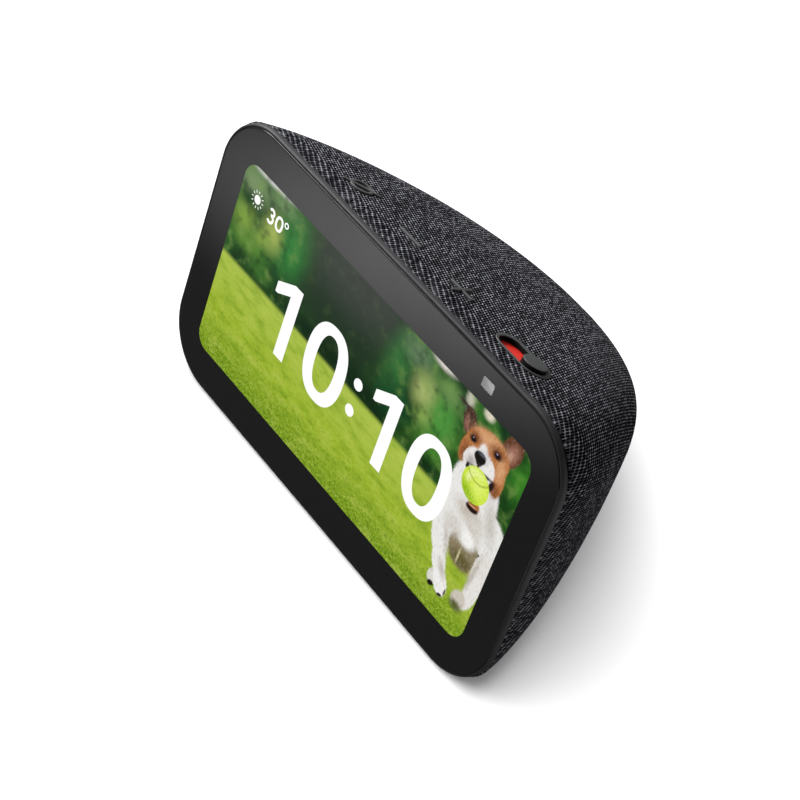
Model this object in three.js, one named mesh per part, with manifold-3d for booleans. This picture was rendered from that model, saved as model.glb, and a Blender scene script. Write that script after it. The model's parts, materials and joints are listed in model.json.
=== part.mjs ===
// Smart display: a tilted touch panel on a fabric-covered speaker body, with three press
// buttons and a camera shutter slider on top. Millimetres, +Z up, front facing -Y.
// The origin is the bottom centre of the bounding box.
import * as THREE from "three";
import { mergeVertices } from "three/addons/utils/BufferGeometryUtils.js";
import Module from "manifold-3d";

const wasm = await Module();
wasm.setup();

// ---------------------------------------------------------------- driving dimensions
const GAP = 0.3; // clearance between neighbouring pieces

// Panel frame: x to the right, y up the panel, z out of the screen, zero at the screen's centre.
const PANEL_TILT = 20; // degrees back from vertical
const PANEL_HEIGHT_Z = 41.9; // screen centre above the table
const PANEL_BACK_Y = -30.72; // screen centre from the middle of the depth
const PANEL_W = 147;
const PANEL_H = 86;
const PANEL_R = 18; // corner radius of the panel
const SCREEN_W = 125; // lit area
const SCREEN_H = 62.5;

// Front stack, as depths behind the face of the glass.
const GLASS = { front: 0, back: 1.1, inset: 0.85 };
const RIM = { front: 0.25, back: 2.05, skirtBack: 5.2, pocket: 1.4 };
const TOUCH = { front: 1.4, back: 1.7, margin: 1 };
const LCD = { front: 2.0, back: 3.1, margin: 1.6 };
const BACKLIGHT = { front: 3.4, back: 5.2, margin: 2.4 };
const FRAME = { front: 5.6, back: 6.9, halfW: 69, halfH: 37.2, radius: 15 };

// Body: sections parallel to the panel, from its front edge to the small flat at the rear.
const BODY_FRONT = 2.3;
const BODY_REAR = 77;
const BODY_HALF_W = 73.3;
const REAR_HALF_W = 6;
const REAR_TOP = 10.5; // top of the rear flat, up the panel
const REAR_BOTTOM = -8;
const TOP_SLOPE = 0.28; // fall of the top for each millimetre of depth
const CORNER_R = 18;
const CORNER_POWER = 2.4; // superellipse power of the section's corners
const SKIN = 0.8; // knitted cover
const SHELL_OUT = 1.1; // shell's outer face below the cover's
const SHELL_IN = 2.9; // shell's inner face

// Controls on the sloping top: x along the row, y towards the back, z out of the surface.
const CONTROL_DEPTH = 14.5;
const BUTTON_ROW_Y = 0.6;
const MUTE_X = -34.7;
const MINUS_X = -12.6;
const PLUS_X = 9.6;
const SLIDER_X = 36;
const SLIDER_Y = -0.3;
const SYMBOL_RISE = 0.55; // symbols stand above the cloth by this much
const STROKE = 1.05; // width of a symbol's line
const BAR_LENGTH = 9.2;
const MUTE_R = 3;
const MUTE_SLASH = 11.7;
const FLANGE = { top: -3.3, bottom: -4.1, side: 12.4 }; // under each symbol, inside the shell
const SWITCH = { top: -4.8, bottom: -6.1, side: 5.2 };
const RING = { length: 18.3, width: 9.4, slotLength: 15.7, slotWidth: 7.4, rise: 0.3, depth: 1.15 };
const KNOB = { length: 7, width: 6.9, top: 1.4, bottom: -1.15, gap: 0.15 };
const SLIDE = { top: -1.3, bottom: -1.9, halfW: 4 };
const SLIDER_TRAVEL = RING.slotLength - KNOB.length - 2 * KNOB.gap - 0.1;

// Camera behind its window in the glass, with the shutter's blade between them.
const CAMERA = { x: 40.6, y: 36.6, windowW: 4.3, windowH: 3.4, radius: 2 };
const BLADE = { x: 39, length: 10.4, width: 5.4, front: 1.55, back: 2.15 };

// Base, in the resting frame.
const FOOT_TOP = 1.1;
const BASE = { bottom: 1.2, flange: 2.05, top: 4.4, halfW: 48, front: -34, rear: 24, corner: 7 };
const HATCH_INSET = 7; // the hatch inside the base plate's flange
const BASE_SCREW_INSET = 4.2;
const FOOT_INSET = 0.8;
const WEIGHT_INSET = 12;
const BASE_LINE = 0.364; // rise of the table line in the panel frame for each millimetre of depth
const BODY_CLEAR = 1.3; // cover above the table, measured along the panel

// Speaker behind the main board, facing the rear, and the power jack in the rear flat.
const SPEAKER = { y: 18.4, z: 28.4, radius: 20 };
const BASKET = { bore: 15.4, neck: 11.2 };
const CONE = { radius: 13.2, innerR: 5.2 };
const MAGNET = { radius: 10.5, bore: 4.6, front: -12.6, back: -19 };
const JACK = { y: -1.6, outer: 5.4, bore: 3.4 };

// Screws and the bosses they turn into.
const SCREW = { shankR: 1, headR: 2.2, headTop: 0.8, holeR: 1.35, headHoleR: 2.5 };
const FRAME_SCREW_LENGTH = 7;
const BASE_SCREW_LENGTH = 5;

// Main board behind the display frame, with its shields and heat spreader.
const BOARD = { width: 104, height: 56, y: -5, front: 9.4, back: 10.8, shieldGap: 0.3 };

// ---------------------------------------------------------------- solids
function asSolid(geometry) {
  const bare = geometry.index ? geometry.toNonIndexed() : geometry.clone();
  for (const name of Object.keys(bare.attributes)) {
    if (name !== "position") bare.deleteAttribute(name);
  }
  const merged = mergeVertices(bare, 1e-4);
  const build = (flip) => {
    const triVerts = new Uint32Array(merged.index.array);
    if (flip) {
      for (let i = 0; i < triVerts.length; i += 3) {
        [triVerts[i + 1], triVerts[i + 2]] = [triVerts[i + 2], triVerts[i + 1]];
      }
    }
    const vertProperties = new Float32Array(merged.attributes.position.array);
    return new wasm.Manifold(new wasm.Mesh({ numProp: 3, vertProperties, triVerts }));
  };
  const made = build(false);
  return made.volume() < 0 ? build(true) : made;
}

function asGeometry(solid) {
  const mesh = solid.getMesh();
  const geometry = new THREE.BufferGeometry();
  geometry.setAttribute("position", new THREE.BufferAttribute(mesh.vertProperties, 3));
  geometry.setIndex(new THREE.BufferAttribute(mesh.triVerts, 1));
  geometry.computeVertexNormals();
  return geometry;
}

const cut = (body, ...tools) =>
  tools.flat().reduce((rest, tool) => rest.subtract(asSolid(tool)), body);
const join = (...pieces) =>
  pieces.flat().map(asSolid).reduce((whole, piece) => whole.add(piece));

function roundedRect(width, height, radius, x = 0, y = 0) {
  const w = width / 2;
  const h = height / 2;
  const shape = new THREE.Shape();
  shape.absarc(x + w - radius, y - h + radius, radius, -Math.PI / 2, 0, false);
  shape.absarc(x + w - radius, y + h - radius, radius, 0, Math.PI / 2, false);
  shape.absarc(x - w + radius, y + h - radius, radius, Math.PI / 2, Math.PI, false);
  shape.absarc(x - w + radius, y - h + radius, radius, Math.PI, Math.PI * 1.5, false);
  return shape;
}

function polygon(points) {
  return new THREE.Shape(points.map(([x, y]) => new THREE.Vector2(x, y)));
}

// A straight slab of a shape, between two heights along its own z.
function slab(shape, low, high, curveSegments = 6) {
  const geometry = new THREE.ExtrudeGeometry(shape, {
    depth: high - low,
    bevelEnabled: false,
    curveSegments,
  });
  return geometry.translate(0, 0, low);
}

// A slab in the panel frame, between two depths behind the glass.
const layer = (shape, front, back, segments) => slab(shape, -back, -front, segments);

function box(x, y, z) {
  const geometry = new THREE.BoxGeometry(x[1] - x[0], y[1] - y[0], z[1] - z[0]);
  return geometry.translate((x[0] + x[1]) / 2, (y[0] + y[1]) / 2, (z[0] + z[1]) / 2);
}

// A round post along z.
function post(radius, low, high, x = 0, y = 0, segments = 12) {
  const geometry = new THREE.CylinderGeometry(radius, radius, high - low, segments);
  return geometry.rotateX(Math.PI / 2).translate(x, y, (low + high) / 2);
}

// A profile of [radius, height] pairs turned about z.
function turned(profile, segments = 24) {
  const points = profile.map(([r, z]) => new THREE.Vector2(r, z));
  return new THREE.LatheGeometry(points, segments).rotateX(Math.PI / 2);
}

// A profile drawn as [y, z] pairs and pushed along x.
function ribbon(points, x0, x1) {
  const geometry = new THREE.ExtrudeGeometry(polygon(points), {
    depth: x1 - x0,
    bevelEnabled: false,
  });
  const swap = new THREE.Matrix4().makeBasis(
    new THREE.Vector3(0, 1, 0),
    new THREE.Vector3(0, 0, 1),
    new THREE.Vector3(1, 0, 0),
  );
  return geometry.applyMatrix4(swap).translate(x0, 0, 0);
}

// A thin strip that follows a path of [y, z] points in a plane across x.
function strip(path, thickness, x0, x1) {
  const half = thickness / 2;
  const left = [];
  const right = [];
  path.forEach((point, i) => {
    const before = path[Math.max(i - 1, 0)];
    const after = path[Math.min(i + 1, path.length - 1)];
    const dir = new THREE.Vector2(after[0] - before[0], after[1] - before[1]).normalize();
    left.push([point[0] - dir.y * half, point[1] + dir.x * half]);
    right.unshift([point[0] + dir.y * half, point[1] - dir.x * half]);
  });
  return ribbon([...left, ...right], x0, x1);
}

function wire(points, radius) {
  const path = new THREE.CatmullRomCurve3(points.map((p) => new THREE.Vector3(...p)));
  const circle = new THREE.Shape().absarc(0, 0, radius, 0, Math.PI * 2, false);
  return new THREE.ExtrudeGeometry(circle, { steps: 14, curveSegments: 5, extrudePath: path });
}

// ---------------------------------------------------------------- frames
const display = new THREE.Group();
const panel = new THREE.Group();
panel.position.set(0, PANEL_BACK_Y, PANEL_HEIGHT_Z);
panel.rotation.x = THREE.MathUtils.degToRad(90 - PANEL_TILT);
display.add(panel);

const bodyStep = (depth) => (depth - BODY_FRONT) / (BODY_REAR - BODY_FRONT);
const fall = (s, power, round) => 1 - (1 - s ** power) ** (1 / round);

function topEdge(depth) {
  const drop = PANEL_H / 2 - TOP_SLOPE * BODY_REAR - REAR_TOP;
  return PANEL_H / 2 - TOP_SLOPE * depth - drop * fall(bodyStep(depth), 2.4, 2);
}

function bottomEdge(depth) {
  const table = (d) => BASE_LINE * d - PANEL_H / 2 - BODY_CLEAR + 1;
  const lift = (REAR_BOTTOM - table(BODY_REAR)) * fall(bodyStep(depth), 12, 2);
  return Math.max(table(depth) + lift, 0.2 - PANEL_H / 2);
}

const halfWidth = (depth) =>
  REAR_HALF_W + (BODY_HALF_W - REAR_HALF_W) * (1 - bodyStep(depth) ** 1.4) ** (1 / 1.9);

const TOP_ORIGIN_Y = topEdge(CONTROL_DEPTH);
const TOP_ANGLE = Math.atan((topEdge(CONTROL_DEPTH - 5) - topEdge(CONTROL_DEPTH + 5)) / 10);
const top = new THREE.Group();
top.position.set(0, TOP_ORIGIN_Y, -CONTROL_DEPTH);
top.rotation.x = -Math.PI / 2 - TOP_ANGLE;
panel.add(top);
display.updateMatrixWorld(true);

const toTop = (geometry) => geometry.clone().applyMatrix4(top.matrix);
const worldToPanel = panel.matrixWorld.clone().invert();
const fromTable = (geometry) => geometry.clone().applyMatrix4(worldToPanel);

// ---------------------------------------------------------------- materials
const material = (color, roughness, metalness = 0) =>
  new THREE.MeshStandardMaterial({ color, roughness, metalness });
const look = {
  glass: material(0x1b1c1d, 0.25),
  clear: material(0xb9bcbe, 0.1),
  rim: material(0x2a2b2d, 0.4),
  knit: material(0x2b2c2f, 0.95),
  shell: material(0x232427, 0.6),
  control: material(0x3a3b3e, 0.5),
  red: material(0xe0352c, 0.45),
  shutter: material(0xb4b5b6, 0.5),
  film: material(0x6c7378, 0.2),
  foam: material(0x1a1a1a, 0.95),
  white: material(0xe8e8e4, 0.5),
  rubber: material(0x1d1d1e, 0.9),
  steel: material(0x9a9da0, 0.35, 1),
  aluminium: material(0xb9bcc0, 0.4, 1),
  board: material(0x1f5a38, 0.6),
  chip: material(0x202123, 0.5),
  cone: material(0x17181a, 0.8),
  magnet: material(0x55575a, 0.4, 1),
  ribbon: material(0xb8762a, 0.5),
  screw: material(0x8d8f92, 0.3, 1),
};

function place(group, name, solid, finish) {
  const geometry = solid.isBufferGeometry ? asGeometry(asSolid(solid)) : asGeometry(solid);
  const mesh = new THREE.Mesh(geometry, finish);
  mesh.name = name;
  group.add(mesh);
}

// ---------------------------------------------------------------- body skin
const CORNER_STEPS = 6;

// A length that stays just inside a limit, without a kink where it nears it.
const within = (length, limit) => length / (1 + (length / limit) ** 6) ** (1 / 6);

// One section, anticlockwise from the bottom right corner.
function section(depth) {
  const w = halfWidth(depth);
  const low = bottomEdge(depth);
  const high = topEdge(depth);
  const grown = bodyStep(depth) ** 1.5;
  const lowX = within(CORNER_R + 34 * grown, w);
  const highX = within(CORNER_R + 17 * grown, w);
  const tall = 2 * CORNER_R + 60 * grown;
  const squash = within(tall, high - low) / tall;
  const lowY = (CORNER_R + 60 * grown) * squash;
  const highY = CORNER_R * squash;
  const right = [];
  for (let i = 0; i < CORNER_STEPS; i += 1) {
    const a = (i / (CORNER_STEPS - 1)) * (Math.PI / 2);
    const across = Math.sin(a) ** (2 / CORNER_POWER);
    const down = Math.cos(a) ** (2 / CORNER_POWER);
    right.push([w - lowX + lowX * across, low + lowY - lowY * down]);
  }
  for (let i = 0; i < CORNER_STEPS; i += 1) {
    const a = (i / (CORNER_STEPS - 1)) * (Math.PI / 2);
    const across = Math.cos(a) ** (2 / CORNER_POWER);
    const up = Math.sin(a) ** (2 / CORNER_POWER);
    right.push([w - highX + highX * across, high - highY + highY * up - 1e-3]);
  }
  const left = right.map(([x, y]) => [-x, y]).reverse();
  return [...right, ...left];
}

const RINGS = 14;
const ringDepths = Array.from({ length: RINGS }, (_, i) => {
  const s = 1 - (1 - i / (RINGS - 1)) ** 1.6;
  return BODY_FRONT + s * (BODY_REAR - BODY_FRONT);
});
const sections = ringDepths.map((depth) =>
  section(depth).map(([x, y]) => new THREE.Vector3(x, y, -depth)),
);

// Outward direction of the skin at one point of one section.
function skinNormal(i, j) {
  const ring = sections[i];
  const count = ring.length;
  const along = new THREE.Vector3().subVectors(ring[(j + 1) % count], ring[(j + count - 1) % count]);
  const ahead = sections[Math.min(i + 1, RINGS - 1)][j];
  const behind = sections[Math.max(i - 1, 0)][j];
  const back = new THREE.Vector3().subVectors(ahead, behind);
  return back.cross(along).normalize();
}

// The closed body, shrunk along its skin's normals. A hollow one runs out past the front.
function bodyLoft(inset, openFront = false) {
  const rings = sections.map((ring, i) =>
    ring.map((point, j) => {
      const moved = point.clone().addScaledVector(skinNormal(i, j), -inset);
      if (i === 0) moved.z = point.z;
      if (i === RINGS - 1) moved.z = point.z + inset;
      return moved;
    }),
  );
  if (openFront) rings.unshift(rings[0].map((p) => new THREE.Vector3(p.x, p.y, p.z + 5)));
  const count = rings[0].length;
  const positions = rings.flat().flatMap((p) => [p.x, p.y, p.z]);
  const index = [];
  for (let i = 0; i < rings.length - 1; i += 1) {
    for (let j = 0; j < count; j += 1) {
      const a = i * count + j;
      const b = i * count + ((j + 1) % count);
      index.push(a, a + count, b, b, a + count, b + count);
    }
  }
  for (const [ring, flip] of [[0, false], [rings.length - 1, true]]) {
    const centre = positions.length / 3;
    const low = rings[ring][0].y;
    const high = rings[ring][count / 2].y;
    positions.push(0, (low + high) / 2, rings[ring][0].z);
    for (let j = 0; j < count; j += 1) {
      const a = ring * count + j;
      const b = ring * count + ((j + 1) % count);
      index.push(centre, flip ? b : a, flip ? a : b);
    }
  }
  const geometry = new THREE.BufferGeometry();
  geometry.setAttribute("position", new THREE.Float32BufferAttribute(positions, 3));
  geometry.setIndex(index);
  return geometry;
}

// Half width of the D-shaped base at a share of its depth, pulled in by inset.
const baseHalfWidth = (share, inset) => (BASE.halfW - inset) * (1 - share ** 1.8) ** 0.6;

function baseShape(inset) {
  const front = BASE.front + inset;
  const depth = BASE.rear - BASE.front - 2 * inset;
  const corner = Math.max(BASE.corner - inset, 1.5);
  const half = [];
  for (let i = 0; i <= 4; i += 1) {
    const a = (i / 4) * (Math.PI / 2);
    const wide = baseHalfWidth(corner / depth, inset);
    half.push([wide - corner * (1 - Math.sin(a)), front + corner * (1 - Math.cos(a))]);
  }
  const steps = 10;
  for (let i = 1; i < steps; i += 1) {
    const share = corner / depth + (1 - corner / depth) * Math.sin((i / steps) * (Math.PI / 2));
    half.push([baseHalfWidth(share, inset), front + share * depth]);
  }
  return polygon([...half, ...half.map(([x, y]) => [-x, y]).reverse()]);
}

// ---------------------------------------------------------------- controls' outlines
const barShape = (x, y, length, width) => roundedRect(length, width, width / 2 - 0.01, x, y);

function plusParts(grow, low, high) {
  const across = slab(barShape(PLUS_X, BUTTON_ROW_Y, BAR_LENGTH + grow, STROKE + grow), low, high, 3);
  const along = slab(
    roundedRect(STROKE + grow, BAR_LENGTH - 1 + grow, (STROKE + grow) / 2 - 0.01, PLUS_X, BUTTON_ROW_Y),
    low,
    high,
    3,
  );
  return [across, along];
}

const minusPart = (grow, low, high) =>
  slab(barShape(MINUS_X, BUTTON_ROW_Y, BAR_LENGTH + grow, STROKE + grow), low, high, 3);

function slashPart(grow, low, high) {
  const bar = slab(barShape(0, 0, MUTE_SLASH + grow, STROKE + grow), low, high, 3);
  return bar.rotateZ(Math.PI / 4).translate(MUTE_X, BUTTON_ROW_Y, 0);
}

const muteDisc = (grow, low, high) =>
  post(MUTE_R + STROKE / 2 + grow / 2, low, high, MUTE_X, BUTTON_ROW_Y, 20);

// The knob rests at the right-hand end of its slot, which covers the camera.
const knobX = SLIDER_X + RING.slotLength / 2 - KNOB.length / 2 - KNOB.gap;
const slideLeft = SLIDER_X - RING.slotLength / 2 - 0.7;

const pill = (length, width, low, high, segments = 6) =>
  slab(roundedRect(length, width, width / 2 - 0.01, SLIDER_X, SLIDER_Y), low, high, segments);

// Every opening that the controls need through the skin, grown by a clearance all round.
function controlOpenings(clearance, low, high) {
  const grow = clearance * 2;
  return [
    muteDisc(grow, low, high),
    slashPart(grow, low, high),
    minusPart(grow, low, high),
    ...plusParts(grow, low, high),
    pill(RING.length + grow, RING.width + grow, low, high),
  ].map(toTop);
}

// ---------------------------------------------------------------- front stack
const rect = (halfW, halfH, radius) => roundedRect(halfW * 2, halfH * 2, radius);
const glassW = PANEL_W / 2 - GLASS.inset;
const glassH = PANEL_H / 2 - GLASS.inset;
const windowShape = (grow) =>
  roundedRect(CAMERA.windowW + grow, CAMERA.windowH + grow, 0.8 + grow / 2, CAMERA.x, CAMERA.y);

function buildFrontStack() {
  const face = layer(rect(glassW - 0.4, glassH - 0.4, PANEL_R - 1.25), GLASS.front, 0.4, 8);
  const plate = layer(rect(glassW, glassH, PANEL_R - GLASS.inset), 0.35, GLASS.back, 8);
  const glass = cut(join(face, plate), layer(windowShape(0.3), -1, 3, 4));
  place(panel, "cover_glass", glass, look.glass);
  place(panel, "camera_window", layer(windowShape(0), 0.05, 1, 4), look.clear);

  const halfW = PANEL_W / 2;
  const halfH = PANEL_H / 2;
  const rim = layer(rect(halfW, halfH, PANEL_R), RIM.front, RIM.back, 8);
  const skirt = layer(rect(69.4, 38.2, 15), RIM.back - 0.2, RIM.skirtBack, 6);
  const pocket = layer(rect(glassW + GAP, glassH + GAP, PANEL_R - 0.5), -1, RIM.pocket, 8);
  const opening = layer(rect(67.4, 39.4, 13), -1, 9, 5);
  const skirtGap = layer(rect(67.8, 36.6, 11), RIM.back, 9, 5);
  const bladeLeft = BLADE.x - BLADE.length / 2 - SLIDER_TRAVEL - GAP;
  const blade = box([bladeLeft, 45], [30, 40.2], [-9, -RIM.pocket]);
  const bezel = cut(join(rim, skirt), pocket, opening, skirtGap, blade);
  place(panel, "front_bezel", bezel, look.rim);

  const screenLayer = (spec, radius) =>
    layer(rect(SCREEN_W / 2 + spec.margin, SCREEN_H / 2 + spec.margin, radius), spec.front, spec.back, 4);
  place(panel, "touch_sensor", screenLayer(TOUCH, 4), look.film);
  place(panel, "lcd_panel", screenLayer(LCD, 4), look.film);
  place(panel, "backlight_unit", screenLayer(BACKLIGHT, 4), look.white);

  const foamOuter = layer(rect(66.6, 35.2, 7), BACKLIGHT.front, FRAME.front - GAP, 4);
  const foam = cut(
    asSolid(foamOuter),
    layer(rect(65.4, 34.1, 5), 0, 9, 4),
    box([CAMERA.x - 3.4, CAMERA.x + 3.4], [30, 40], [-9, 0]),
  );
  place(panel, "display_gasket", foam, look.foam);

  const tray = layer(rect(FRAME.halfW, FRAME.halfH, FRAME.radius), FRAME.front, FRAME.back, 8);
  const windows = [-36, 0, 36].map((x) =>
    layer(roundedRect(26, 44, 4, x, -2), FRAME.front - 1, FRAME.back + 1, 3),
  );
  const frame = cut(
    asSolid(tray),
    windows,
    box([BLADE.x - BLADE.length / 2 - SLIDER_TRAVEL - GAP, 46], [31.6, 60], [-9, -4]),
    bossPlaces.map(([x, y]) => post(SCREW.holeR, -9, -4, x, y, 10)),
    bossPlaces.map(([x, y]) => post(SCREW.headHoleR, -FRAME.front - 0.9, -4, x, y, 10)),
  );
  place(panel, "display_frame", frame, look.steel);
}

// ---------------------------------------------------------------- body
const bossPlaces = [
  [62.5, 30.2],
  [-62.5, 30.2],
  [62, -28],
  [-62, -28],
];
const basePlaces = [0.14, 0.7].flatMap((share) => {
  const x = baseHalfWidth(share, BASE_SCREW_INSET);
  const y = BASE.front + BASE_SCREW_INSET + share * (BASE.rear - BASE.front - 2 * BASE_SCREW_INSET);
  return [[x, y], [-x, y]];
});

// Sound holes through the rear of the shell, under the cover.
function grilleHoles() {
  const pitch = 6.5;
  const holes = [];
  for (const [row, count] of [[0, 3], [1, 4], [2, 3]]) {
    for (let i = 0; i < count; i += 1) {
      const x = (i - (count - 1) / 2) * pitch;
      const hole = new THREE.CylinderGeometry(2, 2, 26, 6);
      holes.push(hole.translate(x, SPEAKER.y + 19, SPEAKER.z + 2 + row * 6));
    }
  }
  return holes.map(fromTable);
}

function buildBody() {
  const cover = cut(
    asSolid(bodyLoft(0)),
    bodyLoft(SKIN, true),
    controlOpenings(0.3, -4, 4),
    fromTable(slab(baseShape(-0.4), -5, 6)),
    post(JACK.outer + GAP, -90, -70, 0, JACK.y, 16),
  );
  place(panel, "fabric_cover", cover, look.knit);

  const bosses = [
    ...bossPlaces.map(([x, y]) => post(4, -17, -FRAME.back - GAP, x, y, 10)),
    ...basePlaces.map(([x, y]) => fromTable(post(3.4, 0, 7.3, x, y, 10))),
  ];
  const hollow = cut(asSolid(bodyLoft(SHELL_IN, true)), bosses);
  const pocket = box(
    [slideLeft - SLIDER_TRAVEL - GAP, SLIDER_X + RING.length / 2 + 0.6],
    [SLIDER_Y - SLIDE.halfW - GAP, SLIDER_Y + SLIDE.halfW + GAP],
    [-6, 4],
  );
  const shell = cut(
    asSolid(bodyLoft(SHELL_OUT)).subtract(hollow),
    controlOpenings(0.4, -6, 4),
    toTop(pocket),
    fromTable(slab(baseShape(HATCH_INSET - 0.4), -5, BASE.top + GAP)),
    box([-80, 80], [-60, 60], [-2.4, 5]),
    bossPlaces.map(([x, y]) => post(SCREW.holeR, -15, 0, x, y, 10)),
    basePlaces.map(([x, y]) => fromTable(post(SCREW.holeR, -5, 10, x, y, 10))),
    post(JACK.outer + GAP, -90, -70, 0, JACK.y, 16),
    grilleHoles(),
  );
  place(panel, "body_shell", shell, look.shell);
}

function buildBase() {
  const flange = slab(baseShape(0), BASE.bottom, BASE.flange);
  const hatch = slab(baseShape(HATCH_INSET), BASE.flange - 0.2, BASE.top);
  const hollow = slab(baseShape(HATCH_INSET + 2.2), BASE.flange + 0.6, BASE.top + 1);
  const holes = basePlaces.map(([x, y]) => post(SCREW.holeR, 0, 9, x, y, 10));
  place(display, "base_plate", cut(join(flange, hatch), hollow, holes), look.shell);

  const pad = cut(
    asSolid(slab(baseShape(FOOT_INSET), 0, FOOT_TOP)),
    basePlaces.map(([x, y]) => post(2.7, -1, 2, x, y, 16)),
  );
  place(display, "rubber_foot", pad, look.rubber);
  const weight = slab(baseShape(WEIGHT_INSET), BASE.flange + 0.9, BASE.top + 2.6);
  place(display, "base_weight", weight, look.steel);
}

// ---------------------------------------------------------------- top controls
function buildButtons() {
  const rise = SYMBOL_RISE;
  const under = FLANGE.top - 0.2;
  const ring = asSolid(muteDisc(0, -0.3, rise)).subtract(
    asSolid(post(MUTE_R - STROKE / 2, 0, 2, MUTE_X, BUTTON_ROW_Y, 20)),
  );
  const flange = (x, height, radius) =>
    slab(roundedRect(FLANGE.side, height, radius, x, BUTTON_ROW_Y), FLANGE.bottom, FLANGE.top, 3);
  const mute = ring
    .add(join(muteDisc(0, under, 0), slashPart(0, under, rise)))
    .add(asSolid(flange(MUTE_X, FLANGE.side, 3)));
  place(top, "mute_button", mute, look.control);

  place(
    top,
    "volume_down_button",
    join(minusPart(0, under, rise), flange(MINUS_X, 4.2, 1.5)),
    look.control,
  );
  place(
    top,
    "volume_up_button",
    join(...plusParts(0, under, rise), flange(PLUS_X, 11.4, 1.5)),
    look.control,
  );

  const buttons = { mute: MUTE_X, volume_down: MINUS_X, volume_up: PLUS_X };
  for (const [name, x] of Object.entries(buttons)) {
    const half = SWITCH.side / 2;
    const lid = SWITCH.top - 0.5;
    const can = box([x - half, x + half], [BUTTON_ROW_Y - half, BUTTON_ROW_Y + half], [SWITCH.bottom, lid]);
    const stem = post(1.5, lid - 0.1, SWITCH.top, x, BUTTON_ROW_Y, 12);
    place(top, name + "_switch", join(can, stem), look.chip);
  }
  const board = box([-44, 19], [-3.4, 6.4], [SWITCH.bottom - 1.1, SWITCH.bottom - 0.1]);
  place(top, "button_board", board, look.board);
  const between = { microphone_left: (MUTE_X + MINUS_X) / 2, microphone_right: (MINUS_X + PLUS_X) / 2 };
  for (const [name, x] of Object.entries(between)) {
    const can = box([x - 1.9, x + 1.9], [-1.5, 1.5], [SWITCH.bottom, SWITCH.bottom + 1.1]);
    place(top, name, cut(asSolid(can), post(0.4, SWITCH.bottom + 0.5, 0, x, 0, 8)), look.steel);
  }
}

// ---------------------------------------------------------------- camera and its shutter
function buildShutter() {
  const ring = cut(
    asSolid(pill(RING.length, RING.width, -RING.depth, RING.rise)),
    pill(RING.slotLength, RING.slotWidth, -9, 9),
  );
  place(top, "shutter_ring", ring, look.control);

  const grip = roundedRect(KNOB.length, KNOB.width, KNOB.width / 2 - 0.05, knobX, SLIDER_Y);
  place(top, "shutter_knob", slab(grip, KNOB.bottom, KNOB.top, 6), look.control);
  const plate = box(
    [slideLeft, knobX + KNOB.length / 2 - 0.1],
    [SLIDER_Y - SLIDE.halfW, SLIDER_Y + SLIDE.halfW],
    [SLIDE.bottom, SLIDE.top],
  );
  place(top, "shutter_slide", plate, look.red);

  // The arm runs forward under the top to the blade between the glass and the camera.
  const arm = [
    [37.0, -2.5],
    [35.6, -2.5],
    [34.6, -13.9],
    [36.8, -13.7],
    [37.5, -11],
    [36.1, -9.8],
  ];
  place(panel, "shutter_arm", ribbon(arm, 34.2, 36.2), look.shell);
  const blade = roundedRect(BLADE.length, BLADE.width, 0.8, BLADE.x, CAMERA.y);
  place(panel, "shutter_blade", layer(blade, BLADE.front, BLADE.back, 3), look.shutter);

  const lens = turned(
    [
      [0, 0],
      [CAMERA.radius, 0],
      [CAMERA.radius, 0.7],
      [1.3, 1.2],
      [0, 1.35],
    ],
    20,
  ).translate(CAMERA.x, CAMERA.y, -4.2);
  place(panel, "camera_lens", lens, look.clear);
  const holder = join(
    box([CAMERA.x - 3, CAMERA.x + 3], [CAMERA.y - 4.6, CAMERA.y + 0.4], [-6.7, -5.4]),
    post(CAMERA.radius, -5.6, -4.5, CAMERA.x, CAMERA.y, 20),
  );
  place(panel, "camera_module", holder, look.chip);
}

// ---------------------------------------------------------------- electronics
function buildElectronics() {
  const board = cut(
    asSolid(layer(roundedRect(BOARD.width, BOARD.height, 2, 0, BOARD.y), BOARD.front, BOARD.back, 3)),
    [-48, 48].map((x) => post(SCREW.holeR, -12, -8, x, 18, 12)),
  );
  place(panel, "main_board", board, look.board);
  const shieldFront = -BOARD.back - BOARD.shieldGap;
  const processorBack = shieldFront - 2.2;
  const padBack = processorBack - GAP - 1;
  place(panel, "processor_shield", box([-22, 6], [-14, 12], [processorBack, shieldFront]), look.steel);
  place(panel, "radio_shield", box([16, 34], [-6, 14], [shieldFront - 2, shieldFront]), look.steel);
  place(panel, "thermal_pad", box([-20, 4], [-12, 10], [padBack, processorBack - GAP]), look.foam);

  const plate = box([-36, 12], [-24, 16], [padBack - GAP - 1.3, padBack - GAP]);
  place(panel, "heat_spreader", plate, look.aluminium);
  for (const [side, x] of [["left", -52], ["right", 52]]) {
    const tab = box([x - 0.4, x + 0.4], [-9, 11], [-38, -20]);
    place(panel, "wifi_antenna_" + side, tab, look.ribbon);
  }

  const flexPath = [
    [-10, -5.5],
    [-16, -5.6],
    [-18.6, -6.4],
    [-19.8, -8],
    [-22, -8.9],
    [-28, -8.9],
  ];
  place(panel, "display_cable", strip(flexPath, 0.3, -7, 7), look.ribbon);
  const buttonFlex = [
    [31.6, -10.2],
    [29, -10.3],
    [26.6, -9.3],
    [23.4, -9.05],
    [18, -9.05],
  ];
  place(panel, "button_cable", strip(buttonFlex, 0.3, -16, -8), look.ribbon);
}

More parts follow.
